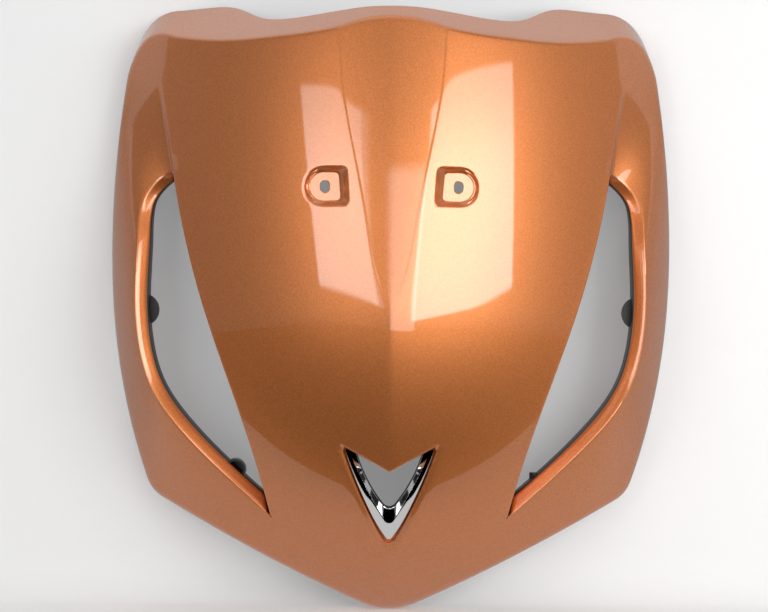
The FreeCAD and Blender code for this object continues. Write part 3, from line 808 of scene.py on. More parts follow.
def window_line(share, notch_inset):
    """Half of the garnish's ridge at share 0, or of the window at share 1, from the bottom to the notch."""
    low, high = (between(GARNISH_RIDGE[i], WINDOW[i], share) for i in (0, 1))
    bow, turn = between(GARNISH_RIDGE[2:], WINDOW[2:], share)
    centre, radius = bowed_side(low, high, bow)
    bottom = low_turn(centre, radius, turn)
    run_on = WINDOW_RUN_ON / radius
    end = (high[0] - (high[1] - centre[1]) * run_on, high[1] + (high[0] - centre[0]) * run_on)
    points = bottom + arc_points(centre, radius, bottom[-1], high, V_SIDE_STEPS)[1:] + [end]
    base = notch_z(notch_inset)
    kept = []
    for a, b in zip(points, points[1:]):
        kept.append(a)
        over_a, over_b = (q[1] - base - V_NOTCH_SLOPE * q[0] for q in (a, b))
        if over_b > 0:
            part = over_a / (over_a - over_b)
            kept.append(between(a, b, part))
            break
    return along(kept)


# The rolled lip of the recess: how far in from its sides and its notch, and how far behind the skin
V_LIP = [(-0.9, -0.4, 0.0), (-0.5, 0.0, 0.08), (0.2, 0.3, 0.35), (1.2, 0.55, 0.78), (2.2, 0.7, 1.3),
         (2.9, 0.8, 2.1), (3.4, 0.9, 4.2), (3.75, 0.95, 6.6), (3.95, 1.0, 8.0)]
# How far the lip's rings reach further down at the bottom, and how much deeper they are there
V_LIP_DROP = [3.0, 2.9, 2.5, 1.8, 1.0, 0.4, 0.1, 0.0, 0.0]
V_LIP_DEEPER = 1.0
# Share of the outline up to which the bottom reaches, and depths over which the lip turns from the skin
# to the plane: start and run
V_LIP_BOTTOM = 0.45
V_PLANE_FADE = (2.5, 4.0)


def add_v_recess(mesh, cells):
    c0, c1, r0, r1 = cells
    corner = c1 - c0 + r1 - r0
    walk = block_walk(*cells)[:corner + c1 - c0 + 1]
    lines = [v_line(inset, notch_inset) for inset, notch_inset, _ in V_LIP]
    window = window_line(1.0, V_LIP[-1][1])
    meet_x, meet_z = window(1.0)
    spots = []
    for k, (column, row) in enumerate(walk):
        s = k / corner if k <= corner else 1 + (k - corner) / (len(walk) - 1 - corner)
        out_x, out_z = lines[0](s)
        low_share = max(1 - s / V_LIP_BOTTOM, 0) ** 1.5
        out_z -= V_LIP_DROP[0] * low_share
        line = panel_run(panel_spot(column, row), (out_x, out_z), V_RINGS)
        for place, (_, _, behind), drop in zip(lines[1:], V_LIP[1:], V_LIP_DROP[1:]):
            px, pz = place(s)
            pz -= drop * low_share
            behind = min(behind * (1 + V_LIP_DEEPER * low_share), V_FLOOR)
            flat = fade(behind, *V_PLANE_FADE)
            skin = blend(panel_depth(px, pz) + behind, v_plane(px, pz, behind), flat)
            line.append(at(px, skin, pz))
        wall = lines[-1](s)
        inner = window(s) if s <= 1 else (min(wall[0], meet_x), min(wall[1], meet_z))
        line += [floor_place(*between(wall, inner, part)) for part in (0.5, 1.0)]
        spots.append(line)
    patch_lines(mesh, spots)


# Plated garnish


def garnish_depth(x, z):
    """The face follows the skin, a little sunk, and leans back towards the tips."""
    return panel_depth(x, z) + GARNISH_FACE + GARNISH_LEAN * (z - V_MID[1])


# Share of the way from the outer line to the ridge, and how far behind the face
GARNISH_ROWS = [(0.0, 1.1), (0.05, 0.45), (0.12, 0.12), (0.2, 0.0), (0.5, -0.1), (0.8, 0.0), (0.92, 0.05),
                (1.0, 0.2)]
# Shares of the way down the bevel from the ridge to the window
GARNISH_BEVEL = (0.06, 0.3, 0.6, 0.94, 1.0)
# How far the outer line is raised at the bottom, and the share of it where that ends
GARNISH_TUCK = 2.6
GARNISH_TUCK_END = 0.35


def garnish_line(share, outer, ridge, window):
    """Points across the garnish at one place along it, from its outer to its inner back edge."""
    x, z = outer(share)
    start = (x, z + GARNISH_TUCK * max(1 - share / GARNISH_TUCK_END, 0) ** 2)
    crest = ridge(share)
    inner = window(share)
    line = [floor_place(*start)]
    for part, sunk in GARNISH_ROWS:
        x, z = between(start, crest, part)
        line.append(at(x, garnish_depth(x, z) + sunk, z))
    top = garnish_depth(*crest) + GARNISH_ROWS[-1][1]
    foot = v_plane(*inner, V_FLOOR - GARNISH_LIP)
    for part in GARNISH_BEVEL:
        x, z = between(crest, inner, part)
        line.append(at(x, blend(top, foot, part), z))
    line.append(floor_place(*inner))
    return line


def pin_axis():
    return Vector((0, 1, -v_slopes()[1])).normalized()


def pin_places():
    ridge_low = window_line(0.0, GARNISH_NOTCH_INSET)(0)[1]
    outer_low = v_line(GARNISH_INSET, GARNISH_NOTCH_INSET)(0)[1]
    return [(0.0, (ridge_low + outer_low) / 2), SIDE_PIN, (-SIDE_PIN[0], SIDE_PIN[1])]


def add_turned(mesh, base, profile, axis=(0, 1, 0)):
    """A round piece: (radius, run) pairs turned about an axis."""
    turn = Vector(axis).to_track_quat("Z", "Y").to_matrix()

    def place(column, row):
        radius, run = profile[row]
        angle = 2 * math.pi * column / TURNED_STEPS
        return base + turn @ Vector((radius * math.cos(angle), radius * math.sin(angle), run))

    patch(mesh, TURNED_STEPS, len(profile) - 1, place)


def add_garnish(mesh):
    outer = v_line(GARNISH_INSET, GARNISH_NOTCH_INSET, GARNISH_BOTTOM_RADIUS)
    ridge = window_line(0.0, GARNISH_NOTCH_INSET)
    window = window_line(1.0, GARNISH_NOTCH_INSET)
    lines = [garnish_line(k / GARNISH_COLUMNS, outer, ridge, window) for k in range(GARNISH_COLUMNS + 1)]
    patch_lines(mesh, lines)
    finish_half(mesh, GARNISH_WELD)
    for x, z in pin_places():
        add_turned(mesh, floor_place(x, z), PIN_PROFILE, pin_axis())
    face_forwards(mesh)


# Fittings on the inside, all moulded with the cover


def skin_depth(x, z):
    return panel_depth(x, z) if x < panel_edge(z) else wing_depth(x, z)


def skin_back(x, z, reach):
    """Depth just inside the skin, at its deepest within a reach of a spot."""
    spots = [(x + i * reach / 2, z + j * reach / 2) for i in range(-2, 3) for j in range(-2, 3)]
    return max(skin_depth(*spot) for spot in spots) + SKIN_ROOT


def near_slot(x, z):
    """Whether a spot lies in the slot or under its bevel."""
    if x < panel_edge(z) - PANEL_CLEARANCE or z > SLOT_TOP_Z or z < SLOT_TIP_Z:
        return False
    if min(math.dist((x, z), spot) for spot in RIDGE_SPOTS) < BEVEL_CLEARANCE:
        return True
    return x < min(RIDGE_SPOTS, key=lambda spot: abs(spot[1] - z))[0]


def add_rib(mesh, x, z, along_x):
    """A thin wall through a boss, from the skin up to below the seat."""
    top = CREST_TO_SEAT - RIB_BELOW_SEAT

    def place(column, row):
        run = blend(-RIB_REACH, RIB_REACH, column / RIB_STEPS)
        side = RIB_THICKNESS / 2 * (-1 if row < 2 else 1)
        px, pz = (x + run, z + side) if along_x else (x + side, z + run)
        foot = top if near_slot(abs(px), pz) else min(skin_back(abs(px), pz, RIB_MARGIN), top)
        return at(px, foot if row in (0, 3) else top, pz)

    patch(mesh, RIB_STEPS, 3, place)


def add_fittings(mesh):
    for side in (-1, 1):
        for z in (-BOSS_Z, BOSS_Z):
            x = side * BOSS_X
            foot = skin_back(BOSS_X, z, BOSS_RADIUS)
            bottom = max(CREST_TO_SEAT - BOSS_HOLE_DEPTH, foot)
            profile = [(BOSS_RADIUS, foot), (BOSS_RADIUS, CREST_TO_SEAT), (BOSS_HOLE, CREST_TO_SEAT),
                       (BOSS_HOLE, bottom), (0, bottom)]
            add_turned(mesh, at(x, 0, z), profile)
            add_rib(mesh, x, z, True)
            add_rib(mesh, x, z, False)
        add_turned(mesh, at(side * LUG_X, 0, LUG_Z), LUG_PROFILE)
        add_turned(mesh, at(side * LUG_BOSS_X, 0, LUG_Z), LUG_BOSS_PROFILE)
    add_turned(mesh, at(*CUP_PLACE), CUP_PROFILE)
    corner = at(POST_BLOCK_X, CUP_PLACE[1], POST_BLOCK_Z)
    cube = Matrix.Translation(corner + Vector(POST_BLOCK) / 2) @ Matrix.Diagonal((*POST_BLOCK, 1))
    bmesh.ops.create_cube(mesh, size=1, matrix=cube)
    post = at(POST_X, CUP_PLACE[1] + POST_BLOCK[1] / 2, POST_BLOCK_Z + POST_BLOCK[2])
    add_turned(mesh, post, POST_PROFILE, (0, 0, 1))
    for x, z in pin_places():
        add_turned(mesh, floor_place(x, z), PAD_PROFILE, pin_axis())
    bmesh.ops.remove_doubles(mesh, verts=mesh.verts, dist=FINE_WELD)
    bmesh.ops.recalc_face_normals(mesh, faces=mesh.faces)


# Wing, slot and turned edges

# The wall thins where the slot's two sides meet
TIP_REACH = 14.0
TIP_THINNING = 0.12
# Across from the panel's edge, and share of the way down to the wing
STEP_PROFILE = [(-EDGE_FILLET, 0.0), (-0.45, 0.08), (0.2, 0.33), (0.9, 0.67), (1.6, 0.92), (STEP_FOOT, 1.0)]


def step_spot(column, row):
    """Above the slot, the step from the panel's edge down to the wing; row 0 is at the slot's top."""
    x_off, share = STEP_PROFILE[column]
    z = panel_spot(PANEL_COLUMNS, LOW_ROWS + row)[1]
    top_x = panel_edge(PANEL_TOP_Z) + x_off
    drop = top_crease(top_x) - TOP_INSET - COLUMN_ENDS[-1][1]
    z += drop * row / TOP_ROWS
    return panel_edge(z) + x_off, z, share


def step_place(column, row):
    x, z, share = step_spot(column, row)
    return at(x, blend(panel_depth(x, z), wing_depth(x, z), share), z)


# Across from the panel's edge, behind the skin, and share of the way to the wall's rear
SLOT_WALL = [(-EDGE_FILLET, 0.0, 0.0), (-0.35, 0.5, 0.0), (0.0, 1.5, 0.0), (0.5, 0.0, 0.35), (1.0, 0.0, 0.7),
             (1.5, 0.0, 1.0)]
SLOT_WALL_LEAST = 4.0


def slot_wall_profile(row):
    x, z = panel_spot(PANEL_COLUMNS, row)
    skin = panel_depth(x, z)
    run = max(ridge_depth(z) + SLOT_FLANGE_END - skin, SLOT_WALL_LEAST)
    edge = x + EDGE_FILLET
    return [(edge + across, skin + behind + run * share) for across, behind, share in SLOT_WALL], z


def slot_wall_place(column, row):
    """The panel's edge turns back along the slot."""
    profile, z = slot_wall_profile(row)
    px, depth = profile[column]
    return at(px, depth, z)


def slot_ridge():
    start = (panel_edge(SLOT_TOP_Z) + STEP_FOOT, SLOT_TOP_Z)
    tip = (panel_edge(SLOT_TIP_Z) - EDGE_FILLET, SLOT_TIP_Z)
    return smooth_path([start] + SLOT_RIDGE + [tip])


RIDGE = slot_ridge()
RIDGE_SAMPLES = 60
RIDGE_SPOTS = [RIDGE(k / RIDGE_SAMPLES) for k in range(RIDGE_SAMPLES + 1)]
# The fillet fades at the ridge's ends; the bevel is narrower at the slot's top and clears the panel's wall
RIDGE_FADE = 0.05
TOP_NARROWING = 0.7
TOP_NARROW_SHARE = 0.14
WALL_CLEARANCE = 1.5


def ridge_spot(t, inward):
    """A place on the slot's ridge, moved into the slot but not past the panel's wall."""
    x, z = RIDGE(t)
    side_x, side_z = square_to(RIDGE(max(t - RIDGE_NUDGE, 0.0)), RIDGE(min(t + RIDGE_NUDGE, 1.0)))

    def clears_wall(reach):
        return x + side_x * reach >= panel_edge(z + side_z * reach) + WALL_CLEARANCE

    if inward < 0:
        inward *= ease(t / RIDGE_FADE) * ease((1 - t) / RIDGE_FADE)
    else:
        inward *= blend(TOP_NARROWING, 1.0, ease(t / TOP_NARROW_SHARE))
        if not clears_wall(inward):
            inward = last_true(clears_wall, inward, 16)
    return x + side_x * inward, z + side_z * inward


RIDGE_FILLET = 1.2
# Into the slot from its ridge, and down from the wing's skin
BEVEL_PROFILE = [(-RIDGE_FILLET, 0.0), (-0.4, 0.17), (0.6, 0.85), (2.8, 2.5), (5.2, 4.3), (6.7, 5.4),
                 (7.3, 6.1), (7.5, 7.2), (8.0, 8.2), (8.4, 14.0), (8.8, 20.0)]
# The bevel is painted up to this column
BARE_COLUMN = 7

# Sections of the wing: share of the slot's ridge at their end, place on the outline at their end, cells
WING_SECTIONS = [(0.40, 1.52, 40), (0.60, 1.80, 22), (0.72, 2.0, 14), (0.80, 3.0, 12), (1.0, 3.42, 26)]
STEP_OUTLINE_END = 1.17
CORNER_OUTLINE = 0.55
OUTLINE_END = 4.0


def ridge_rows():
    """Share of the slot's ridge and place on the outline, row by row."""
    rows = [(0.0, STEP_OUTLINE_END)]
    for *end, cells in WING_SECTIONS:
        start = rows[-1]
        rows += [between(start, end, k / cells) for k in range(1, cells + 1)]
    return rows


RIDGE_ROWS = ridge_rows()


def wing_rows():
    """Matched ends of the wing's rows: inner (x, z) and its place on the outline."""
    rows = []
    for row in range(TOP_ROWS, -1, -1):
        x, z, _ = step_spot(len(STEP_PROFILE) - 1, row)
        share = 1 - row / TOP_ROWS
        rows.append(((x, z), blend(CORNER_OUTLINE, STEP_OUTLINE_END, share)))
    rows += [(ridge_spot(t, -RIDGE_FILLET), s) for t, s in RIDGE_ROWS[1:]]
    for column in range(PANEL_COLUMNS - 1, -1, -1):
        share = 1 - panel_spot(column, 0)[0] / panel_spot(PANEL_COLUMNS, 0)[0]
        rows.append((panel_spot(column, 0), blend(RIDGE_ROWS[-1][1], OUTLINE_END, share)))
    return rows


WING_ROWS = wing_rows()
BULGE_ROWS = 14


def wing_spot(column, row):
    inner, s = WING_ROWS[row]
    share = column / WING_COLUMNS
    x, z = between(inner, rim_inset(s), share)
    bulge = max(1 - row / BULGE_ROWS, 0) ** 2
    if bulge:
        chord = between(rim_inset(0.0), rim_inset(CORNER_OUTLINE), share)
        curve = rim_inset(CORNER_OUTLINE * share)
        x += bulge * (curve[0] - chord[0])
        z += bulge * (curve[1] - chord[1])
    return x, z


def wing_place(column, row):
    return on_wing(*wing_spot(column, row))


def bevel_place(column, row):
    t = RIDGE_ROWS[row][0]
    inward, down = BEVEL_PROFILE[column]
    x, z = ridge_spot(t, inward)
    start_x, start_z = ridge_spot(t, min(inward, 0))
    skin = wing_depth(start_x, start_z)
    rear = ridge_depth(z) + SLOT_FLANGE_END
    share = down / SLOT_FLANGE_END
    depth = skin + down + (rear - skin - SLOT_FLANGE_END) * ease(share)
    if row == len(RIDGE_ROWS) - 1:
        profile, z = slot_wall_profile(0)
        for (x_front, front), (x_back, back) in zip(profile, profile[1:]):
            if front <= depth:
                x = blend(x_front, x_back, min((depth - front) / (back - front), 1))
    return at(x, depth, z)


# Where on the outline the flange's climb and its rear fade into the side's return, and over what run
CLIMB_FADE = (0.75, 0.5)
REAR_FADE = (0.7, 0.45)
# The largest share of the turned edge's depth that its rounding takes
ROUND_SHARE = 0.6


def edge_chain():
    """Corners of the skin's outer boundary: spot on the skin, corner line, climb, rear depth and inset."""
    chain = []
    tops = [panel_spot(column, PANEL_ROWS) for column in range(PANEL_COLUMNS + 1)]
    tops += [step_spot(column, TOP_ROWS)[:2] for column in range(1, len(STEP_PROFILE))]
    for x, z in tops:
        chain.append(((x, z), (x, top_crease(x)), FLANGE_CLIMB, rear_depth(x), TOP_INSET))
    places = [(wing_spot(column, 0), CORNER_OUTLINE * column / WING_COLUMNS)
              for column in range(1, WING_COLUMNS + 1)]
    places += [(wing_spot(WING_COLUMNS, row), WING_ROWS[row][1]) for row in range(1, len(WING_ROWS))]
    for spot, s in places:
        x, z = rim(s)[:2]
        climb = FLANGE_CLIMB * (1 - fade(s, *CLIMB_FADE))
        own = wing_depth(x, z) + EDGE_RETURN
        rear = blend(rear_depth(x), own, fade(s, *REAR_FADE))
        chain.append((spot, (x, z), climb, rear, edge_inset(s)))
    return chain


def rear_depth(x):
    last_x, last_depth = FLANGE_REAR[-1]
    return flange_rear(x) if x < last_x else last_depth


def add_turned_edge(mesh):
    """A round edge, then the flange at the top and the return along the sides and the bottom."""
    spots = []
    for spot, crease, climb, rear, inset in edge_chain():
        deep = rear - wing_depth(*crease)
        start = on_wing(*spot)
        corner = on_wing(*crease)
        turn_end = corner + Vector((0, 1, climb)) * min(inset, deep * ROUND_SHARE)
        end = corner + Vector((0, 1, climb)) * deep
        line = []
        for k in range(ROUND_ROWS):
            t = k / (ROUND_ROWS - 1)
            line.append(start * (1 - t) ** 2 + corner * 2 * t * (1 - t) + turn_end * t * t)
        for k in range(1, BACK_ROWS + 1):
            line.append(turn_end.lerp(end, k / BACK_ROWS))
        spots.append(line)
    patch_lines(mesh, spots)


def add_wing(mesh):
    patch(mesh, WING_COLUMNS, len(WING_ROWS) - 1, wing_place)
    patch(mesh, len(STEP_PROFILE) - 1, TOP_ROWS, step_place)
    patch(mesh, len(SLOT_WALL) - 1, LOW_ROWS, slot_wall_place)
    patch(mesh, len(BEVEL_PROFILE) - 1, len(RIDGE_ROWS) - 1, bevel_place, bare_from=BARE_COLUMN)
    add_turned_edge(mesh)


def finish_half(mesh, merge):
    """Welds the patches, mirrors the half, and turns every face outwards."""
    bmesh.ops.remove_doubles(mesh, verts=mesh.verts, dist=merge)
    bmesh.ops.dissolve_degenerate(mesh, dist=1e-5, edges=mesh.edges)
    for vertex in mesh.verts:
        if abs(vertex.co.x) < CENTRE_SNAP:
            vertex.co.x = 0.0
    everything = mesh.verts[:] + mesh.edges[:] + mesh.faces[:]
    bmesh.ops.mirror(mesh, geom=everything, axis="X", merge_dist=FINE_WELD)
    bmesh.ops.remove_doubles(mesh, verts=mesh.verts, dist=FINE_WELD)
    bmesh.ops.recalc_face_normals(mesh, faces=mesh.faces)


def face_forwards(mesh):
    """Turns the whole mesh inside out if its foremost face looks back."""
    if min(mesh.faces, key=lambda face: face.calc_center_median().y).normal.y > 0:
        bmesh.ops.reverse_faces(mesh, faces=mesh.faces)


def mesh_object(name, mesh, materials):
    """A smooth object at the origin."""
    data = bpy.data.meshes.new(name)
    mesh.to_mesh(data)
    mesh.free()
    for polygon in data.polygons:
        polygon.use_smooth = True
    for material in materials:
        data.materials.append(material)
    made = bpy.data.objects.new(name, data)
    bpy.context.scene.collection.objects.link(made)
    return made


def make_piece(name, mesh, materials):
    """A piece of the cover, from a mesh in millimetres."""
    bmesh.ops.scale(mesh, vec=(MM, MM, MM), verts=mesh.verts)
    piece = mesh_object(name, mesh, materials)
    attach(piece, "root")
    return piece


def split_rims(piece, degrees):
    rims = piece.modifiers.new("rims", "EDGE_SPLIT")
    rims.split_angle = math.radians(degrees)


# Materials


class Socket:
    """A shader value: Python's operators on it add Math nodes."""

    def __init__(self, tree, link):
        self.tree = tree
        self.link = link

    def node(self, kind, settings=None, values=None, output=0):
        made = self.tree.nodes.new(kind)
        for key, value in (settings or {}).items():
            setattr(made, key, value)
        for key, value in (values or {}).items():
            if isinstance(value, Socket):
                self.tree.links.new(value.link, made.inputs[key])
            else:
                made.inputs[key].default_value = value
        return Socket(self.tree, made.outputs[output])

    def maths(self, operation, a, b):
        return self.node("ShaderNodeMath", {"operation": operation}, {0: a, 1: b})

    def part(self, axis):
        return self.node("ShaderNodeSeparateXYZ", None, {0: self}, axis)

    def ramp(self, low, high, first, last):
        """A soft climb from one value to another between two places."""
        return self.node("ShaderNodeMapRange", {"interpolation_type": "SMOOTHSTEP"},
                         {0: self, 1: low, 2: high, 3: first, 4: last})

    def __add__(self, other):
        return self.maths("ADD", self, other)

    def __mul__(self, other):
        return self.maths("MULTIPLY", self, other)

    __rmul__ = __mul__

    def __sub__(self, other):
        return self.maths("SUBTRACT", self, other)


def new_material(name, values):
    material = bpy.data.materials.new(name)
    material.use_nodes = True
    tree = material.node_tree
    shader = tree.nodes["Principled BSDF"]
    for key, value in values.items():
        shader.inputs[key].default_value = value
    coordinates = tree.nodes.new("ShaderNodeTexCoord")
    return material, shader, Socket(tree, coordinates.outputs["Object"])


# Fineness of the flakes, and the share of light paint in them: spread and least
FLAKE_SCALE = 1300.0
FLAKE_SPREAD = 0.35
FLAKE_LEAST = 0.3


def copper_paint(look):
    values = {"Metallic": 0.75, "Roughness": 0.44, "Coat Weight": 1.0, "Coat IOR": 1.7,
              "Coat Roughness": 0.04}
    material, shader, spot = new_material("copper paint", values)
    flake = spot.node("ShaderNodeTexVoronoi", None, {"Vector": spot, "Scale": FLAKE_SCALE}, 1)
    tint = spot.node("ShaderNodeSeparateColor", None, {0: flake}, 0)
    share = tint * FLAKE_SPREAD + FLAKE_LEAST
    colour = spot.node("ShaderNodeMix", {"data_type": "RGBA"},
                       {0: share, 6: (*look.paint_dark, 1), 7: (*look.paint_light, 1)}, 2)
    spot.tree.links.new(colour.link, shader.inputs["Base Color"])
    return material


def plain_material(name, colour, metallic, roughness):
    return new_material(name, {"Base Color": (*colour, 1), "Metallic": metallic, "Roughness": roughness})[0]


def black_plastic():
    return plain_material("bare black plastic", (0.012, 0.012, 0.013), 0.0, 0.45)


def bright_plating():
    return plain_material("bright plating", (0.93, 0.93, 0.93), 1.0, 0.06)


def spring_steel():
    return plain_material("spring steel", (0.42, 0.42, 0.43), 1.0, 0.35)


def paper_with_painted_reflection(look):
    """Matt paper with a share of plain white for the camera, and a painted reflection that glows for gloss
    rays; from behind it lets the eye through.
    """
    white = (look.paper, look.paper, look.paper, 1)
    values = {"Base Color": white, "Roughness": 0.9, "Specular IOR Level": 0.0}
    material, shader, spot = new_material("paper with painted reflection", values)
    tree = spot.tree
    camera = spot.node("ShaderNodeLightPath", None, None, "Is Camera Ray")
    glossy = spot.node("ShaderNodeLightPath", None, None, "Is Glossy Ray")
    behind = spot.node("ShaderNodeNewGeometry", None, None, "Backfacing")
    aside = spot.node("ShaderNodeMath", {"operation": "ABSOLUTE"}, {0: spot.part(0)})
    near = spot.maths("GREATER_THAN", spot.part(1) + aside * PAPER_SLANT, PAPER_FRONT)
    low = spot.part(2).ramp(*REFLECTION_GLOW_LOW, REFLECTION_GLOW_AT_FLOOR, 1.0)
    high = spot.part(2).ramp(*REFLECTION_GLOW_HIGH, 1.0, REFLECTION_GLOW_AT_TOP)
    # Painted reflection: gloss rays see the paper as a glow of this strength, none towards the front,
    # brighter at the floor and the top; the camera sees plain white
    level = camera + glossy * near * low * high * look.painted_reflection
    glow = spot.node("ShaderNodeEmission", None, {"Strength": level})
    mixed = spot.node("ShaderNodeMixShader", None,
                      {0: camera * look.glow + glossy, 1: Socket(tree, shader.outputs[0]), 2: glow})
    clear = spot.node("ShaderNodeBsdfTransparent")
    shown = spot.node("ShaderNodeMixShader", None, {0: behind, 1: mixed, 2: clear})
    tree.links.new(shown.link, tree.nodes["Material Output"].inputs["Surface"])
    return material


# Studio

SWEEP_SIZE = 2.0
SWEEP_RADIUS = 0.028
SWEEP_STEPS = 16
SENSOR_WIDTH = 36.0
# Brightness of the world as the camera sees it
WORLD_WHITE = 0.9
# How far to the front the paper glows as a painted reflection for gloss rays, less far in the middle
PAPER_FRONT = -0.12
PAPER_SLANT = 0.1
# Heights over which the painted reflection on the paper glows brighter, and by how much at the floor and at
# the top
REFLECTION_GLOW_LOW = (-0.2, -0.08)
REFLECTION_GLOW_HIGH = (0.14, 0.26)
REFLECTION_GLOW_AT_FLOOR = 1.4
REFLECTION_GLOW_AT_TOP = 1.7
LAMP_DISTANCE = 1.2
CAMERA_X = -0.0047
CAMERA_ROLL = -0.0079
# Name, azimuth, elevation, width, height, share of the brightness, and flags before the lamp.
# Of each flag: weights of across and up, offset, softness, and the share that passes beyond its edge
LAMPS = [
    ("left softbox", -29.5, 12.0, 0.86, 0.64, 0.72,
     [(1.0, 0.331, 0.318, 0.02, 0.0), (0.1, 1.0, 0.236, 0.02, 0.0), (-1.0, 0.0, 0.25, 0.03, 0.4),
      (-1.0, 0.0, 0.34, 0.08, 0.0), (0.0, -1.0, 0.31, 0.02, 0.0), (0.0, -1.0, 0.31, 0.3, 0.6)]),
    ("right softbox", 32.0, 12.0, 1.24, 0.76, 1.0,
     [(0.09, -1.0, 0.322, 0.02, 0.0), (-0.2, 1.0, 0.33, 0.02, 0.0), (1.0, 0.0, 0.22, 0.05, 0.0),
      (-1.0, 0.0, 0.592, 0.02, 0.0), (0.0, -1.0, 0.35, 0.3, 0.6)]),
    ("front softbox", 8.0, 9.0, 0.72, 0.72, 0.4,
     [(1.0, 0.0, 0.36, 0.26, 0.0), (0.0, -1.0, 0.24, 0.05, 0.0)]),
    ("top lamp", 0.0, 75.0, 1.2, 1.2, 0.12, []),
    ("back lamp", 205.0, 30.0, 0.8, 0.8, 0.3, []),
]


def add_sweep(look):
    """Floor, cove and wall in one sheet that faces the cover."""
    low = CAD_BOX[0][2]
    back = CAD_BOX[1][1] + MM
    profile = [(-SWEEP_SIZE, low), (PAPER_FRONT, low)]
    for k in range(SWEEP_STEPS + 1):
        turn = math.pi / 2 * k / SWEEP_STEPS
        rise, run = 1 - math.cos(turn), 1 - math.sin(turn)
        profile.append((back - SWEEP_RADIUS * run, low + SWEEP_RADIUS * rise))
    profile.append((back, SWEEP_SIZE))
    mesh = bmesh.new()

    def place(column, row):
        return Vector(((2 * column - 1) * SWEEP_SIZE, *profile[row]))

    patch(mesh, 1, len(profile) - 1, place)
    bmesh.ops.recalc_face_normals(mesh, faces=mesh.faces)
    if max(mesh.faces, key=lambda face: face.calc_center_median().z).normal.y > 0:
        bmesh.ops.reverse_faces(mesh, faces=mesh.faces)
    sweep = mesh_object("sweep", mesh, [paper_with_painted_reflection(look)])
    sweep.visible_shadow = False


def flag(lamp, flags):
    """Cuts and dims the lamp's face along straight soft edges."""
    lamp.use_nodes = True
    tree = lamp.node_tree
    geometry = tree.nodes.new("ShaderNodeNewGeometry")
    spot = Socket(tree, geometry.outputs["Parametric"])
    across = (spot.part(0) - 0.5) * lamp.size
    upward = (spot.part(1) - 0.5) * lamp.size_y
    level = 1.0
    for across_weight, up_weight, offset, softness, passed in flags:
        inside = across * across_weight + upward * up_weight + offset
        level = level * inside.ramp(0.0, softness, passed, 1.0)
    tree.links.new(level.link, tree.nodes["Emission"].inputs["Strength"])


def add_lamp(brightness, name, azimuth, elevation, width, height, share, flags):
    """An area lamp turned to the cover; its power follows from its brightness and size."""
    lamp = bpy.data.lights.new(name, "AREA")
    lamp.shape = "RECTANGLE"
    lamp.size = width
    lamp.size_y = height
    lamp.energy = math.pi * width * height * brightness * share
    if flags:
        flag(lamp, flags)
    holder = bpy.data.objects.new(name, lamp)
    a, e = math.radians(azimuth), math.radians(elevation)
    away = Vector((math.sin(a) * math.cos(e), -math.cos(a) * math.cos(e), math.sin(e)))
    holder.location = away * LAMP_DISTANCE
    holder.rotation_euler = away.to_track_quat("Z", "Y").to_euler()
    bpy.context.scene.collection.objects.link(holder)


# What a user may change


class CoverLook(bpy.types.PropertyGroup):
    """Wall and paint of the cover."""

    wall: FloatProperty(name="Wall", description="Thickness of the moulded wall", default=0.0025,
                        min=0.001, max=0.004, unit="LENGTH")
    paint_light: FloatVectorProperty(name="Paint, light", description="Bright flakes of the paint",
                                     subtype="COLOR", default=(0.86, 0.29, 0.086), min=0, max=1)
    paint_dark: FloatVectorProperty(name="Paint, dark", description="Paint between the flakes",
                                    subtype="COLOR", default=(0.52, 0.155, 0.039), min=0, max=1)


class StudioLook(bpy.types.PropertyGroup):
    """Camera and light of the studio."""

    distance: FloatProperty(name="Camera distance", description="From the cover's foremost point",
                            default=1.3, unit="LENGTH")
    lens: FloatProperty(name="Lens", description="Focal length", default=89.6, subtype="DISTANCE_CAMERA")
    softbox: FloatProperty(name="Softbox", description="Brightness of the stronger softbox", default=5.4)
    room: FloatProperty(name="Room", description="Light of the room beyond the softboxes", default=0.17)
    paper: FloatProperty(name="Paper", description="Shade of the paper sweep", default=0.82, max=1)
    glow: FloatProperty(name="Paper glow", description="Share of plain white that the camera sees",
                        default=0.2, max=1)
    # Strength of the painted reflection: how bright the paper glows for gloss rays
    painted_reflection: FloatProperty(name="Painted paper reflection", description="Glow that gloss rays see on the paper, a painted reflection", default=0.38,
                            max=1)


class COVER_OT_skin(bpy.types.Operator):
    """Painted cover: panel, wings, slots, pockets, recess and turned edges in one wall"""

    bl_idname = "cover.skin"
    bl_label = "Painted Cover"

    def execute(self, context):
        look = context.scene.cover_look
        mesh = bmesh.new()
        add_panel(mesh)
        add_wing(mesh)
        finish_half(mesh, SKIN_WELD)
        face_forwards(mesh)
        piece = make_piece("painted_cover", mesh, [copper_paint(look), black_plastic()])
        tip_x = panel_edge(SLOT_TIP_Z)
        thin = piece.vertex_groups.new(name="thin at the slot tips")
        for vertex in piece.data.vertices:
            away = math.hypot(abs(vertex.co.x) / MM - tip_x, vertex.co.z / MM - SLOT_TIP_Z)
            thin.add([vertex.index], ease(away / TIP_REACH), "REPLACE")
        wall = piece.modifiers.new("wall", "SOLIDIFY")
        wall.vertex_group = thin.name
        wall.thickness_vertex_group = TIP_THINNING
        wall.thickness = look.wall
        wall.offset = -1.0
        wall.use_quality_normals = True
        wall.material_offset = 1
        wall.material_offset_rim = 1
        split_rims(piece, SKIN_SMOOTH)
        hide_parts("front_cover")
        return {"FINISHED"}


class COVER_OT_garnish(bpy.types.Operator):
    """Plated V on the chin, and its push nuts"""

    bl_idname = "cover.garnish"
    bl_label = "V Garnish"

    def execute(self, context):
        mesh = bmesh.new()
        add_garnish(mesh)
        piece = make_piece("plated_v", mesh, [bright_plating()])
        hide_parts("v_garnish")
        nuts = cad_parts["push_nuts"]
        nuts.data.materials.clear()
        nuts.data.materials.append(spring_steel())
        return {"FINISHED"}


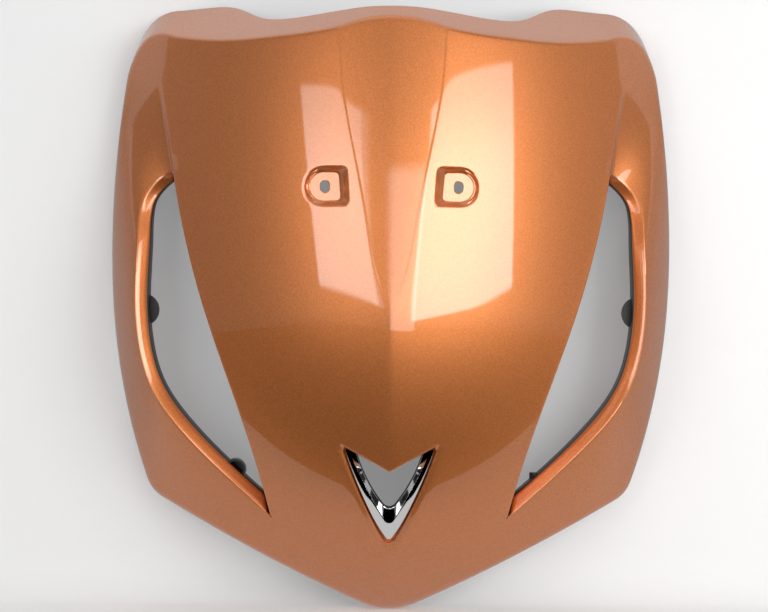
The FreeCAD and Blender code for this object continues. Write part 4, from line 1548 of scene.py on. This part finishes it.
class COVER_OT_fittings(bpy.types.Operator):
    """Screw bosses with ribs, lamp lugs, cup, post and pin pads on the inside"""

    bl_idname = "cover.fittings"
    bl_label = "Inside Fittings"

    def execute(self, context):
        mesh = bmesh.new()
        add_fittings(mesh)
        piece = make_piece("inside_fittings", mesh, [black_plastic()])
        split_rims(piece, FITTING_SMOOTH)
        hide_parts("front_cover")
        return {"FINISHED"}


class COVER_OT_studio(bpy.types.Operator):
    """White wall and floor, softboxes and the camera"""

    bl_idname = "cover.studio"
    bl_label = "Studio"

    def execute(self, context):
        look = context.scene.studio_look
        add_sweep(look)
        for lamp in LAMPS:
            add_lamp(look.softbox, *lamp)
        world = bpy.data.worlds.new("studio")
        world.use_nodes = True
        tree = world.node_tree
        background = tree.nodes["Background"]
        background.inputs["Color"].default_value = (1, 1, 1, 1)
        path = tree.nodes.new("ShaderNodeLightPath")
        seen = Socket(tree, path.outputs["Is Camera Ray"]) * (WORLD_WHITE - look.room) + look.room
        tree.links.new(seen.link, background.inputs["Strength"])
        context.scene.world = world
        lens = bpy.data.cameras.new("camera")
        lens.lens = look.lens
        lens.sensor_width = SENSOR_WIDTH
        camera = bpy.data.objects.new("camera", lens)
        camera.location = (CAMERA_X, -CREST_TO_SEAT * MM - look.distance, 0.0)
        camera.rotation_euler = (math.pi / 2, CAMERA_ROLL, 0)
        context.scene.collection.objects.link(camera)
        context.scene.camera = camera
        context.scene.view_settings.view_transform = "Standard"
        return {"FINISHED"}


class COVER_PT_panel(bpy.types.Panel):
    """Buttons that build the dressed cover"""

    bl_label = "Scooter Front Cover"
    bl_idname = "COVER_PT_panel"
    bl_space_type = "VIEW_3D"
    bl_region_type = "UI"
    bl_category = "Cover"

    def draw(self, context):
        for operator in (COVER_OT_skin, COVER_OT_fittings, COVER_OT_garnish, COVER_OT_studio):
            self.layout.operator(operator.bl_idname)


CLASSES = (CoverLook, StudioLook, COVER_OT_skin, COVER_OT_fittings, COVER_OT_garnish, COVER_OT_studio,
           COVER_PT_panel)


def register():
    for item in CLASSES:
        bpy.utils.register_class(item)
    bpy.types.Scene.cover_look = PointerProperty(type=CoverLook)
    bpy.types.Scene.studio_look = PointerProperty(type=StudioLook)


def unregister():
    del bpy.types.Scene.studio_look
    del bpy.types.Scene.cover_look
    for item in reversed(CLASSES):
        bpy.utils.unregister_class(item)


def main():
    register()
    bpy.ops.cover.skin()
    bpy.ops.cover.fittings()
    bpy.ops.cover.garnish()
    bpy.ops.cover.studio()


if __name__ == "__main__":
    main()
